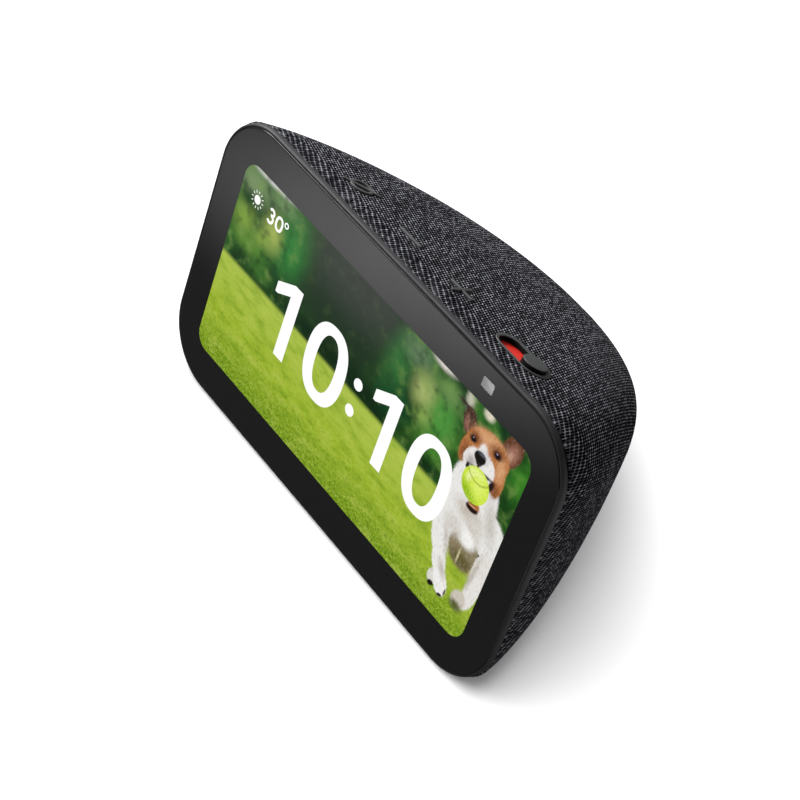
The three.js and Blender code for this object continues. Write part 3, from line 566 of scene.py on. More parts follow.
DOG = [
    ("right_ear", EAR, 55.1, 27.6, 3.4, 5.2, -16, 0.1),
    ("right_ear_inside", EAR_INSIDE, 55.2, 26.6, 1.9, 3.4, -20, 0.6),
    ("right_ear_light", (196, 156, 132), 54.6, 25.4, 0.8, 2.0, -24, 0.8),
    ("left_ear_edge", (54, 42, 34), 37.4, 27.6, 4.0, 0.5, -4, 0.3),
    ("left_ear", (72, 46, 34), 39.6, 24.6, 2.4, 3.8, 20, 0.12),
    ("left_ear_inside", (136, 92, 76), 38.9, 23.6, 0.9, 2.2, 14, 0.6),
    ("right_shoulder", FUR, 58.2, -0.8, 7.2, 9.6, 12, 0.08),
    ("neck", FUR, 49.1, 8.0, 8.8, 11.4, 0, 0.06),
    ("left_shoulder", FUR, 45.6, -2.4, 5.4, 8.2, 0, 0.08),
    ("neck_right_shade", (204, 200, 192), 57.3, 6.0, 1.8, 5.6, 25, 0.9),
    ("shoulder_shade", (206, 200, 190), 53.8, -1.0, 1.6, 4.4, 40, 0.9),
    ("belly", (138, 126, 96), 52.8, -7.4, 5.8, 5.3, 0, 0.12),
    ("belly_shade", (98, 90, 50), 53.2, -10.4, 4.2, 2.2, 0, 0.7),
    ("belly_line", (204, 196, 156), 51.8, -9.6, 0.3, 2.2, 0, 0.8),
    ("belly_line_right", (176, 168, 120), 57.4, -10.2, 0.4, 2.4, -16, 0.8),
    ("chest_tuft", (246, 245, 242), 52.4, -3.6, 3.4, 2.4, 0, 0.5),
    ("right_leg", (228, 225, 220), 60.4, -8.6, 3.1, 7.4, 0, 0.12),
    ("right_shin", (232, 229, 225), 59.9, -15.6, 2.4, 6.0, -8, 0.12),
    ("right_leg_shade", (190, 184, 172), 58.3, -10.4, 0.7, 5.2, -6, 0.9),
    ("right_paw", (204, 197, 184), 57.0, -20.4, 2.5, 3.0, -24, 0.16),
    ("right_paw_pads", (92, 98, 50), 56.8, -22.6, 2.3, 1.4, 0, 0.6),
    ("left_back_paw", (222, 218, 212), 46.4, -22.0, 1.6, 2.3, 10, 0.14),
    ("left_leg", FUR, 43.9, -9.6, 3.1, 6.8, 24, 0.1),
    ("left_shin", (238, 236, 233), 46.7, -16.0, 2.6, 5.8, 26, 0.1),
    ("left_paw", (242, 240, 238), 49.6, -21.0, 2.6, 3.9, 26, 0.1),
    ("left_wrist_shade", FUR_SHADE, 48.6, -17.4, 1.0, 2.6, 40, 0.9),
    ("left_leg_shade", (204, 198, 190), 46.2, -8.6, 0.9, 4.6, 22, 0.9),
    ("chin_shade", (196, 186, 174), 50.2, 3.0, 4.6, 2.4, 0, 0.9),
    ("chest_grey", (214, 209, 202), 46.6, -3.4, 3.0, 2.6, 0, 0.9),
    ("chest_grey_right", (216, 212, 204), 53.6, 1.2, 3.0, 1.6, -20, 0.9),
    ("skull", TAN, 48.2, 21.6, 8.1, 5.6, 8, 0.05),
    ("left_cheek", TAN, 41.5, 18.0, 2.1, 4.6, -6, 0.1),
    ("right_cheek", TAN, 54.2, 17.8, 2.4, 5.0, 8, 0.1),
    ("forehead_light", TAN_LIGHT, 47.2, 24.8, 4.6, 1.9, 8, 0.9),
    ("right_cheek_light", TAN_LIGHT, 54.0, 20.6, 1.4, 3.0, 10, 0.9),
    ("brow_shade", TAN_DARK, 43.0, 22.6, 2.0, 1.3, 0, 0.9),
    ("brow_shade_right", TAN_DARK, 51.2, 24.3, 2.6, 1.3, 8, 0.9),
    ("left_cheek_shade", TAN_DARK, 41.2, 16.4, 1.3, 2.6, 0, 0.9),
    ("right_cheek_shade", TAN_DARK, 54.6, 14.6, 1.4, 1.8, 0, 0.9),
    ("blaze", (240, 238, 236), 46.8, 20.4, 1.5, 2.5, 0, 0.35),
    ("left_muzzle", (236, 232, 229), 44.2, 16.8, 2.4, 3.6, -28, 0.14),
    ("right_muzzle", (238, 235, 232), 50.0, 17.4, 2.9, 3.5, 24, 0.14),
    ("muzzle_bridge", (216, 214, 216), 47.6, 19.6, 2.2, 2.0, 0, 0.5),
    ("muzzle_shade", (176, 170, 168), 44.4, 15.6, 1.4, 1.6, -20, 0.9),
]
FACE = [
    ("left_eye_rim", (78, 44, 28), 42.6, 21.5, 1.35, 1.05, 10, 0.5),
    ("left_eye", (22, 14, 14), 42.65, 21.5, 0.85, 0.8, 0, 0.3),
    ("left_glint", (150, 140, 150), 42.5, 21.85, 0.28, 0.2, 0, 0.7),
    ("right_eye_rim", (78, 44, 28), 51.4, 23.3, 1.7, 1.1, 6, 0.5),
    ("right_eye", (26, 14, 18), 51.4, 23.35, 0.95, 0.85, 0, 0.3),
    ("right_glint", (164, 150, 172), 51.2, 23.7, 0.32, 0.22, 0, 0.7),
    ("nose", INK, 46.7, 18.7, 2.15, 1.7, 6, 0.14),
    ("nose_lower", INK, 46.9, 17.4, 1.2, 1.1, 0, 0.3),
    ("nose_light", (92, 92, 104), 47.1, 19.8, 1.2, 0.4, 4, 0.9),
    ("lip_cleft", (60, 50, 50), 47.1, 16.2, 0.35, 1.0, 0, 0.6),
    ("lips", (52, 40, 38), 48.8, 15.5, 4.4, 0.5, 8, 0.5),
    ("left_lip", INK, 43.9, 13.9, 0.6, 1.0, 0, 0.4),
    ("right_lip", (40, 26, 24), 53.1, 14.7, 0.9, 1.7, -10, 0.4),
    ("lower_lip", (180, 114, 52), 50.5, 6.2, 2.1, 1.5, 0, 0.2),
    ("mouth", (40, 22, 18), 50.2, 5.0, 2.3, 1.15, 6, 0.2),
    ("tongue", (210, 150, 112), 50.2, 5.6, 1.6, 0.3, 6, 0.5),
    ("coat_spot", (84, 76, 72), 57.7, -4.4, 0.35, 0.35, 0, 0.5),
    ("left_back_pad", INK, 46.8, -23.9, 1.15, 0.8, 20, 0.3),
    ("left_pad", (40, 34, 32), 50.9, -24.4, 0.95, 0.45, 20, 0.4),
    ("left_claw", (84, 66, 56), 52.2, -22.4, 0.3, 1.1, 0, 0.5),
]
BALL_CENTRE = (48.5, 11.1)
BALL_R = 5.05
BALL = [("ball", (255, 255, 255), *BALL_CENTRE, BALL_R, BALL_R, 0, 0.04)]
BALL_SHADES = [
    ("low_shade", (146, 188, 20), 46.8, 7.6, 4.0, 2.0, -24, 0.9),
    ("middle_light", (228, 246, 112), 49.8, 11.6, 2.6, 2.8, 20, 0.95),
    ("top_light", (236, 248, 150), 47.6, 14.4, 2.6, 1.0, 8, 0.9),
    ("left_light", (240, 248, 170), 45.8, 12.2, 0.9, 1.6, -20, 0.9),
]
HORIZON = 0.8


def painted(s, base, place, blobs):
    """Lays a list of soft ellipses over a picture."""
    for _, colour, x, y, half_w, half_h, turn, soft in blobs:
        inputs = {
            "Vector": place,
            "Location": (x, y, 0),
            "Rotation": (0, 0, math.radians(turn)),
            "Scale": (half_w, half_h, 1),
        }
        inside = s.node("Mapping", inputs, vector_type="TEXTURE").outputs["Vector"]
        mask = s.remap(s.vector("LENGTH", inside), 1 - soft, 1 + soft, 1.0, 0.0, smooth=True)
        base = s.mix(base, srgb(*colour), mask)
    return base


def covered(s, place, blobs):
    """How far the blobs cover each point, from 0 to 1."""
    whole = painted(s, (0, 0, 0, 1), place, [(n, (255, 255, 255), *rest) for n, _, *rest in blobs])
    return s.node("SeparateColor", {0: whole}).outputs[0]


def mottled(s, base, pattern, light, dark, mask=1.0):
    """Lightens a picture where a pattern is high and darkens it where it is low.

    Both are (colour, pattern value where it starts, value where it is full, strength)."""
    for colour, start, full, strength in (light, dark):
        amount = s.remap(pattern, start, full, 0.0, strength)
        base = s.mix(base, srgb(*colour), s.times(amount, mask))
    return base


def garden(s, place):
    """Blurred trees above a lawn that gets sharper and darker towards the bottom."""
    across = s.node("SeparateXYZ", {0: place}).outputs
    x, y = across[0], across[1]
    # The middle of the trees is evenly dark; the mottled leaves are at both sides.
    sides = s.remap(s.math("ABSOLUTE", s.add(x, 12.0)), 15.0, 30.0, 0.15, 1.0, smooth=True)
    blur = s.noise(0.075, 1.0, place)
    leaves = s.node(
        "TexVoronoi", {"Vector": place, "Scale": 0.16, "Smoothness": 1.0}, feature="SMOOTH_F1"
    ).outputs["Color"]
    leaf = s.remap(s.node("SeparateColor", {0: leaves}).outputs[1], 0.45, 0.85, smooth=True)
    trees = s.mix(srgb(18, 56, 22), srgb(50, 106, 36), s.remap(blur, 0.38, 0.62, smooth=True))
    trees = s.mix(trees, srgb(86, 134, 48), s.times(leaf, s.times(sides, 0.3)))
    trees = painted(s, trees, place, TREES)
    clumps = s.noise(0.24, 2.0, place)
    dark_clumps = s.remap(clumps, 0.5, 0.25, 0.0, 0.55, smooth=True)
    light_clumps = s.remap(clumps, 0.5, 0.75, 0.0, 0.5, smooth=True)
    trees = s.mix(trees, srgb(12, 40, 16), s.times(sides, dark_clumps))
    trees = s.mix(trees, srgb(116, 150, 74), s.times(sides, light_clumps))

    far = s.remap(y, -SCREEN_H / 2 - 0.75, HORIZON)
    lawn = s.mix(srgb(118, 152, 26), srgb(158, 184, 50), s.remap(far, 0.05, 0.45))
    lawn = s.mix(lawn, srgb(172, 194, 76), s.remap(far, 0.5, 1.0))
    bands = s.noise(1.0, 3.0, s.stretched((0.12, 0.34, 1.0), place))
    lawn = mottled(s, lawn, bands, ((188, 202, 92), 0.5, 0.75, 0.5), ((108, 146, 26), 0.5, 0.25, 0.7))
    tufts = s.noise(1.0, 4.0, s.stretched((0.7, 0.9, 1.0), place), 0.7)
    near = s.remap(far, 0.0, 0.75, 1.0, 0.15)
    lawn = mottled(
        s, lawn, tufts, ((196, 212, 96), 0.53, 0.7, 0.6), ((66, 100, 16), 0.48, 0.3, 0.8), near
    )
    blades = s.noise(1.0, 3.0, s.stretched((2.6, 1.2, 1.0), place))
    fore = s.remap(far, 0.0, 0.4, 1.0, 0.1)
    lawn = mottled(
        s, lawn, blades, ((182, 204, 74), 0.54, 0.7, 0.8), ((48, 84, 12), 0.47, 0.3, 0.9), fore
    )
    return s.mix(lawn, trees, s.remap(y, HORIZON - 0.8, HORIZON + 1.1, smooth=True))


def with_dog(s, picture, place):
    """A white and tan terrier running with a tennis ball, drawn over the garden."""
    strands = s.noise(2.4, 2.0, place, colour=True)
    shift = s.vector("SCALE", s.vector("SUBTRACT", strands, (0.5, 0.5, 0.5)), 1.3)
    flat_shift = s.vector("MULTIPLY", shift, (1.0, 1.0, 0.0))
    ruffled = s.vector("ADD", place, flat_shift)
    picture = painted(s, picture, ruffled, DOG)
    hairy = covered(s, ruffled, DOG)
    streaks = s.noise(1.0, 3.0, s.stretched((2.0, 0.7, 1.0), place, 0.4))
    dark = s.times(hairy, s.remap(streaks, 0.52, 0.28, 0.0, 0.34, smooth=True))
    light = s.times(hairy, s.remap(streaks, 0.5, 0.74, 0.0, 0.34, smooth=True))
    picture = s.mix(picture, (0.5, 0.46, 0.4, 1.0), dark, "MULTIPLY")
    picture = s.mix(picture, (0.34, 0.32, 0.3, 1.0), light, "SCREEN")

    slightly = s.vector("ADD", place, s.vector("SCALE", flat_shift, 0.25))
    picture = painted(s, picture, slightly, FACE)
    felt = painted(s, srgb(204, 232, 50), place, BALL_SHADES)
    fuzz = s.noise(1.0, 3.0, s.stretched((3.4, 1.2, 1.0), place, 0.9))
    felt = mottled(s, felt, fuzz, ((236, 248, 132), 0.5, 0.75, 0.6), ((150, 186, 24), 0.5, 0.3, 0.5))
    seam_centre = (48.4, 17.0, 0.0)
    arm = s.vector("LENGTH", s.vector("SUBTRACT", place, seam_centre))
    off_seam = s.math("ABSOLUTE", s.math("SUBTRACT", arm, 5.0))
    felt = s.mix(felt, srgb(158, 178, 66), s.remap(off_seam, 0.1, 0.42, 0.75, 0.0))
    return s.mix(picture, felt, covered(s, place, BALL))


def lit_picture(name):
    s = Shader(name)
    place = s.uv("picture")
    picture = with_dog(s, garden(s, place), place)
    s.set(Base_Color=(0.0, 0.0, 0.0, 1.0), Roughness=0.14, Specular_IOR_Level=0.1)
    s.set(Emission_Color=picture, Emission_Strength=0.97)
    return s.material


def lit_white(name):
    """White parts of the picture, with the faint pixel grain of a panel."""
    s = Shader(name)
    grain = s.remap(s.noise(2500.0, 1.0), 0.3, 0.7, 0.97, 1.0)
    s.set(Base_Color=(0.02, 0.02, 0.02, 1.0), Roughness=0.14)
    s.set(Emission_Color=(1.0, 1.0, 1.0, 1.0), Emission_Strength=grain)
    return s.material


# ------------------------------------------------------------------ the knitted cover
def fall(share, power):
    """From 0 to 1, slowly at first and steeply at the end, as on a round nose."""
    return 1 - (1 - share**power) ** (1 / 2)


def within(length, limit):
    """A length that stays just inside a limit, without a kink where it nears it."""
    return length / (1 + (length / limit) ** 6) ** (1 / 6)


def body_step(depth):
    return (depth - BODY_FRONT) / (BODY_REAR - BODY_FRONT)


def top_edge(depth):
    drop = PANEL_H / 2 - TOP_SLOPE * BODY_REAR - REAR_TOP
    return PANEL_H / 2 - TOP_SLOPE * depth - drop * fall(body_step(depth), TOP_DROP_POWER)


def bottom_edge(depth):
    def table(d):
        return BASE_LINE * d - PANEL_H / 2 - BODY_CLEAR + 1

    lift = (REAR_BOTTOM - table(BODY_REAR)) * fall(body_step(depth), LIFT_POWER)
    return max(table(depth) + lift, 0.2 - PANEL_H / 2)


def half_width(depth):
    share = (1 - body_step(depth) ** WIDTH_POWER) ** (1 / WIDTH_ROUNDNESS)
    return REAR_HALF_W + (BODY_HALF_W - REAR_HALF_W) * share


def half_section(depth):
    """Right half of the body's section from the bottom middle to the top middle, as (x, y) rows."""
    w = half_width(depth)
    low = bottom_edge(depth)
    high = top_edge(depth)
    grown = body_step(depth) ** GROWTH_POWER
    low_x = within(CORNER_R + LOW_CORNER_GROWTH * grown, w)
    high_x = within(CORNER_R + HIGH_CORNER_GROWTH * grown, w)
    tall = 2 * CORNER_R + CORNER_HEIGHT_GROWTH * grown
    squash = within(tall, high - low) / tall
    low_y = (CORNER_R + CORNER_HEIGHT_GROWTH * grown) * squash
    high_y = CORNER_R * squash
    points = [(0.0, low)]
    turns = [step / (CORNER_STEPS - 1) * math.pi / 2 for step in range(CORNER_STEPS)]
    for a in turns:
        across = math.sin(a) ** (2 / CORNER_POWER)
        down = math.cos(a) ** (2 / CORNER_POWER)
        points.append((w - low_x + low_x * across, low + low_y - low_y * down))
    for a in turns:
        across = math.cos(a) ** (2 / CORNER_POWER)
        up = math.sin(a) ** (2 / CORNER_POWER)
        points.append((w - high_x + high_x * across, high - high_y + high_y * up))
    points.append((0.0, high))
    return np.array(points)


def resampled(points, count):
    """The same line with evenly spaced points, and its length."""
    steps = np.hypot(*np.diff(points, axis=0).T)
    along = np.concatenate([[0.0], np.cumsum(steps)])
    wanted = np.linspace(0.0, along[-1], count)
    return np.stack([np.interp(wanted, along, points[:, k]) for k in (0, 1)], 1), along[-1]


def cloth_rings(depths, half_count):
    """Whole sections, anticlockwise from the bottom middle, and the arc length at each point."""
    rings = []
    arcs = []
    for depth in depths:
        half, length = resampled(half_section(depth), half_count)
        mirrored = half[-2:0:-1] * (-1, 1)
        whole = np.vstack([half, mirrored])
        rings.append(np.column_stack([whole, np.full(len(whole), -depth)]))
        share = np.linspace(0.0, 1.0, half_count)
        arcs.append(np.concatenate([length * (1 - share), -length * (1 - share[-2:0:-1])]))
    return np.array(rings), np.array(arcs)


def ring_normals(rings):
    around = np.roll(rings, -1, 1) - np.roll(rings, 1, 1)
    back = np.gradient(rings, axis=0)
    normal = np.cross(around, -back)
    return normal / np.linalg.norm(normal, axis=2, keepdims=True)


CLOTH_RINGS = 76
CLOTH_HALF = 110  # points on half of a ring
RING_CROWDING = 1.7  # the rings lie closer together towards the rear
REAR_STOP = 0.9995  # the last ring lies just short of the rear, where the formulas end
ROLL_TURNS = (0.15, 0.35, 0.55, 0.75, 0.9)


def knitted_cover():
    """The cover as a closed skin: outside, rolled front edge, inside, and a flat rear end."""
    share = np.linspace(0.0, 1.0, CLOTH_RINGS)
    steps = 1 - (1 - share) ** RING_CROWDING
    depths = BODY_FRONT + steps * (BODY_REAR - BODY_FRONT) * REAR_STOP
    rings, arcs = cloth_rings(depths, CLOTH_HALF)
    normals = ring_normals(rings)
    travel = np.linalg.norm(np.diff(rings, axis=0), axis=2)
    along = np.vstack([np.zeros(rings.shape[1]), np.cumsum(travel, axis=0)])

    outside = rings.copy()
    inside = rings - normals * SKIN
    inside[:, :, 2] = np.minimum(inside[:, :, 2], rings[:, :, 2].max() - 0.3)
    inside[-1, :, 2] = rings[-1, :, 2] + SKIN
    roll = []
    for turn in ROLL_TURNS:
        a = turn * math.pi
        sunk = SKIN / 2 * (1 - math.cos(a))
        row = rings[0] - normals[0] * sunk
        row[:, 2] = rings[0][:, 2] + SKIN / 2 * math.sin(a) - FRONT_SINK
        roll.append(row)
    outside[0, :, 2] -= FRONT_SINK
    layers = [*inside[::-1], *roll[::-1], *outside]
    count = rings.shape[1]
    lengths = [*along[::-1], *[along[0]] * len(roll), *along]
    spans = [*arcs[::-1], *[arcs[0]] * len(roll), *arcs]

    verts = [tuple(p) for row in layers for p in row]
    faces = []
    for level in range(len(layers) - 1):
        for i in range(count):
            j = (i + 1) % count
            low = level * count
            faces.append((low + i, low + j, low + count + j, low + count + i))
    faces.append(tuple(range(count - 1, -1, -1)))
    last = (len(layers) - 1) * count
    faces.append(tuple(range(last, last + count)))

    mesh = bpy.data.meshes.new("knitted_cover")
    mesh.from_pydata([PANEL @ Vector(v) for v in verts], [], faces)
    layer = mesh.uv_layers.new(name="weave")
    flat_arc = np.concatenate(spans)
    flat_along = np.concatenate(lengths)
    half_turn = flat_arc.reshape(-1, count).max(1).repeat(count)
    for face in mesh.polygons:
        arcs_here = [flat_arc[v] for v in face.vertices]
        wraps = max(arcs_here) - min(arcs_here) > half_turn[face.vertices[0]]
        for loop in face.loop_indices:
            v = mesh.loops[loop].vertex_index
            u = flat_arc[v]
            if wraps and u > 0 and len(face.vertices) == 4:
                u -= 2 * half_turn[v]
            layer.data[loop].uv = (u, flat_along[v])
    cover = bpy.data.objects.new("knitted_cover", mesh)
    bpy.context.scene.collection.objects.link(cover)
    mesh.materials.append(looks["knit_fabric"])
    fixed = bmesh.new()
    fixed.from_mesh(mesh)
    bmesh.ops.recalc_face_normals(fixed, faces=fixed.faces)
    fixed.to_mesh(mesh)
    fixed.free()
    return cover


def base_opening():
    """Outline of the opening under the body, grown from the CAD base plate's own outline."""
    points = node_points("base_plate")[:, :2] / MM
    middle = (points.min(0) + points.max(0)) / 2
    angles = np.arctan2(*(points - middle).T[::-1])
    radii = np.hypot(*(points - middle).T)
    outline = []
    buckets = 72
    for i in range(buckets):
        a = -math.pi + (i + 0.5) * 2 * math.pi / buckets
        near = np.abs((angles - a + math.pi) % (2 * math.pi) - math.pi) < math.pi / 24
        if near.any():
            reach = radii[near].max() + BASE_GAP
            outline.append((middle[0] + reach * math.cos(a), middle[1] + reach * math.sin(a)))
    return outline


def bar(centre, length, angle=0.0, grow=0.0, steps=10):
    """Outline of one stroke of a symbol, grown on all sides for its opening."""
    outline = pill(length + 2 * grow, STROKE + 2 * grow, centre, steps)
    return turned_by(outline, angle, centre) if angle else outline


def cloth_cutters():
    """Tools for the openings round the symbols, the slider, the base and the power socket."""
    low, high = -4, 4
    gap = OPENING_GAP
    outlines = [
        disc(MUTE_R + STROKE / 2 + gap, MUTE),
        bar(MUTE, MUTE_SLASH, math.pi / 4, gap, 16),
        bar(MINUS, BAR_LENGTH, 0.0, gap, 16),
        bar(PLUS, BAR_LENGTH, 0.0, gap, 16),
        bar(PLUS, BAR_LENGTH - 1, math.pi / 2, gap, 16),
        pill(RING_LENGTH + 2 * gap, RING_WIDTH + 2 * gap, RING),
    ]
    tools = [
        made(f"opening_{i}", swept(outline, [(0, low), (0, high)]), TOP)
        for i, outline in enumerate(outlines)
    ]
    points = base_opening()
    table = Matrix.Scale(MM, 4)
    tools.append(made("opening_base", swept(lambda inset: points, [(0, -5), (0, 6)]), table))
    jack_low, jack_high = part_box("jack_bezel")
    local = PANEL.inverted() @ ((jack_low + jack_high) / 2)
    hole = disc(JACK_HOLE_R, (local.x, local.y))
    tools.append(made("opening_jack", swept(hole, [(0, -BODY_REAR - 5), (0, -BODY_REAR + 8)]), PANEL))
    return tools


# ------------------------------------------------------------------ front of the panel
def glass_and_rim():
    half_w = PANEL_W / 2 - GLASS_INSET
    half_h = PANEL_H / 2 - GLASS_INSET
    plate = rounded_rect(half_w, half_h, PANEL_R - GLASS_INSET, steps=28)
    # The last step inwards keeps the reflections on the flat face straight up to its edge.
    edge = rounded_top(-GLASS_THICKNESS, 0, GLASS_EDGE) + [(0.5, 0)]
    glass = made("glass_panel", swept(plate, edge), PANEL, looks["glass_black"])
    window = rounded_rect(WINDOW_W / 2 + 0.02, WINDOW_H / 2 + 0.02, 0.55, (CAMERA_X, CAMERA_Y), 8)
    # The hole widens behind the surface, so its walls stay out of sight from any side.
    hole = made("window_hole", swept(window, [(-1.5, -3), (-1.4, -1.15), (0, -0.03), (0, 2)]), PANEL)
    combined(glass, [hole], "DIFFERENCE")
    stands_for(smoothed(glass, 40), "cover_glass", "housing")

    rim = rounded_rect(PANEL_W / 2, PANEL_H / 2, PANEL_R, steps=28)
    outer = [(0.2, -2.05), (0.05, -1.95), (0, -1.75), (0, -0.75)]
    lip = [(0.04, -0.5), (0.13, -0.32), (0.28, -0.2), (0.46, -0.13), (0.64, -0.11)]
    inner = [(0.74, -0.16), (0.77, -0.3)]
    back = [(0.77, -1.4), (5.9, -1.4), (5.9, -5.2), (4.5, -5.2), (4.5, -2.05)]
    profile = [*outer, *lip, *inner, *back]
    bezel = made("bezel_rim", swept(rim, profile, True), PANEL, looks["rim_plastic"])
    slot_low, slot_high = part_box("shutter_blade")
    corners = [PANEL.inverted() @ slot_low, PANEL.inverted() @ slot_high]
    left = corners[0].x - NOTCH_REACH
    right = corners[1].x + 0.8
    notch = rounded_rect((right - left) / 2, 5.1, 0.5, ((left + right) / 2, 35.1), 3)
    combined(bezel, [made("notch", swept(notch, [(0, -9), (0, -1.25)]), PANEL)], "DIFFERENCE")
    stands_for(smoothed(bezel, 40), "front_bezel", "housing")


def with_picture_uv(thing):
    """Gives every corner its place on the panel, in millimetres."""
    back = PANEL.inverted()
    layer = thing.data.uv_layers.new(name="picture")
    for loop in thing.data.loops:
        point = back @ thing.data.vertices[loop.vertex_index].co
        layer.data[loop.index].uv = (point.x, point.y)


PICTURE_FACE = 0.02  # above the glass
DIGIT_FACE = 0.05


def oval(half_w, half_h, centre, power=2.35, steps=64):
    """A squarish oval; inset pulls it in on all sides."""

    def outline(inset=0.0):
        points = []
        for step in range(steps):
            a = step / steps * 2 * math.pi
            c = math.cos(a)
            s = math.sin(a)
            x = (half_w - inset) * math.copysign(abs(c) ** (2 / power), c)
            y = (half_h - inset) * math.copysign(abs(s) ** (2 / power), s)
            points.append((centre[0] + x, centre[1] + y))
        return points

    return outline


def hoop(outer, inner):
    """A flat ring between two outlines with the same number of points."""
    rows = [(outer, 0.0), (outer, DIGIT_FACE), (inner, DIGIT_FACE), (inner, 0.0)]
    verts = [(x, y, z) for outline, z in rows for x, y in outline()]
    count = len(outer())
    faces = []
    for level in range(4):
        start = level * count
        end = ((level + 1) % 4) * count
        for i in range(count):
            j = (i + 1) % count
            faces.append((start + i, start + j, end + j, end + i))
    return verts, faces


def flat(points):
    return swept(lambda inset: points, [(0, 0), (0, DIGIT_FACE)])


def stroke(path, width):
    """A flat line of one width along a path of points."""
    path = np.array(path, float)
    along = np.gradient(path, axis=0)
    along /= np.linalg.norm(along, axis=1, keepdims=True)
    side = np.column_stack([-along[:, 1], along[:, 0]]) * width / 2
    return flat([*map(tuple, path - side), *map(tuple, (path + side)[::-1])])


def arc(centre, radius, start, end, steps=20, squash=1.0):
    angles = np.radians(np.linspace(start, end, steps))
    return [
        (centre[0] + radius * math.cos(a), centre[1] + radius * squash * math.sin(a))
        for a in angles
    ]


def one(x):
    """The digit 1, with the left edge of its stem at x."""
    return flat(
        [
            (x, -11.5),
            (x + 4.2, -11.5),
            (x + 4.2, 11.8),
            (x + 0.6, 11.8),
            (x - 6.3, 8.4),
            (x - 6.3, 5.1),
            (x - 5.2, 5.1),
            (x, 7.7),
        ]
    )


def clock():
    shapes = {"clock_ten_hours": one(-31.9), "clock_ten_minutes": one(13.8)}
    for name, x in (("clock_hours", -12.3), ("clock_minutes", 33.3)):
        shapes[name] = hoop(oval(8.5, 12.25, (x, 0.25)), oval(4.2, 8.9, (x, 0.4)))
    for name, y in (("clock_dot_high", 4.4), ("clock_dot_low", -4.2)):
        shapes[name] = swept(disc(1.75, (1.1, y)), [(0, 0), (0, DIGIT_FACE)])

    width = 0.78
    height = 22.45
    upper = arc((-48.1, height + 1.0), 1.0, 150, -90, 18, 0.95)
    lower = arc((-48.2, height - 0.95), 1.15, 90, -150, 18, 1.0)
    shapes["degrees_three"] = stroke([*upper, *lower], width)
    shapes["degrees_zero"] = hoop(
        oval(1.7, 2.3, (-44.3, height), steps=40), oval(0.92, 1.55, (-44.3, height), steps=40)
    )
    shapes["degrees_ring"] = hoop(
        oval(0.92, 0.92, (-41.4, 24.05), 2, 28), oval(0.5, 0.5, (-41.4, 24.05), 2, 28)
    )
    sun = (-54.95, 22.8)
    shapes["sun_disc"] = swept(disc(1.3, sun), [(0, 0), (0, DIGIT_FACE)])
    for i in range(12):
        a = i * math.pi / 6
        path = [(sun[0] + r * math.cos(a), sun[1] + r * math.sin(a)) for r in (1.95, 2.65)]
        shapes[f"sun_ray_{i + 1}"] = stroke(path, 0.24)
    return shapes


def joined(shapes):
    """Several separate shapes as one (vertices, faces)."""
    verts = []
    faces = []
    for shape_verts, shape_faces in shapes:
        start = len(verts)
        verts += shape_verts
        faces += [tuple(start + i for i in face) for face in shape_faces]
    return verts, faces


def screen():
    area = rounded_rect(SCREEN_W / 2, SCREEN_H / 2, SCREEN_R, steps=14)
    picture = lit_picture("screen_picture")
    shown = made("lit_screen", swept(area, [(0, -0.2), (0, PICTURE_FACE)]), PANEL, picture)
    with_picture_uv(shown)
    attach(shown, "housing")
    white = lit_white("screen_white")
    shapes = clock()
    groups = {
        "screen_clock": [shape for name, shape in shapes.items() if name.startswith("clock")],
        "screen_weather": [shape for name, shape in shapes.items() if not name.startswith("clock")],
    }
    for name, parts in groups.items():
        thing = made(name, joined(parts), PANEL, white)
        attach(thing, "housing")


# ------------------------------------------------------------------ top controls
def flange(centre, height, radius):
    """The plate under the cloth that keeps a button from falling out."""
    outline = rounded_rect(FLANGE_SIDE / 2, height / 2, radius, centre, 6)
    edge = 0.1
    lower = [(edge, FLANGE_LOW), (0, FLANGE_LOW + edge)]
    upper = [(0, FLANGE_HIGH - edge), (edge, FLANGE_HIGH)]
    return swept(outline, [*lower, *upper])


def button(name, node, parts):
    body = made(name, parts[0], TOP, looks["control_plastic"])
    tools = [made(f"{name}_{i}", part, TOP) for i, part in enumerate(parts[1:])]
    combined(body, tools, "UNION")
    stands_for(smoothed(body, 30), node, node)


def symbols():
    crown = rounded_top(STEM_LOW, SYMBOL_RISE, 0.28)
    floor_profile = rounded_top(STEM_LOW, -0.05, 0.1)
    disc_outline = disc(MUTE_R + STROKE / 2, MUTE, 14)
    ring_profile = [
        (0, -0.4),
        *rounded_top(-0.3, SYMBOL_RISE, 0.28)[1:],
        (STROKE - 0.28, SYMBOL_RISE),
        (STROKE - 0.08, SYMBOL_RISE - 0.08),
        (STROKE, SYMBOL_RISE - 0.28),
        (STROKE, -0.4),
    ]
    button(
        "mute_symbol",
        "mute_button",
        [
            swept(disc_outline, floor_profile),
            swept(disc_outline, ring_profile, True),
            swept(bar(MUTE, MUTE_SLASH, math.pi / 4), crown),
            flange(MUTE, FLANGE_SIDE, 3),
        ],
    )
    button(
        "volume_down_symbol",
        "volume_down_button",
        [swept(bar(MINUS, BAR_LENGTH), crown), flange(MINUS, 4.2, 1.5)],
    )
    button(
        "volume_up_symbol",
        "volume_up_button",
        [
            swept(bar(PLUS, BAR_LENGTH), crown),
            swept(bar(PLUS, BAR_LENGTH - 1, math.pi / 2), crown),
            flange(PLUS, 11.4, 1.5),
        ],
    )


def slider_ring_outline(inset=0.0):
    """The ring's outer outline at 0, and its slot at 1."""
    length = RING_LENGTH + (SLOT_LENGTH - RING_LENGTH) * inset
    width = RING_WIDTH + (SLOT_WIDTH - RING_WIDTH) * inset
    return pill(length, width, (RING[0], RING[1] - SLOT_SHIFT * inset), 24)()


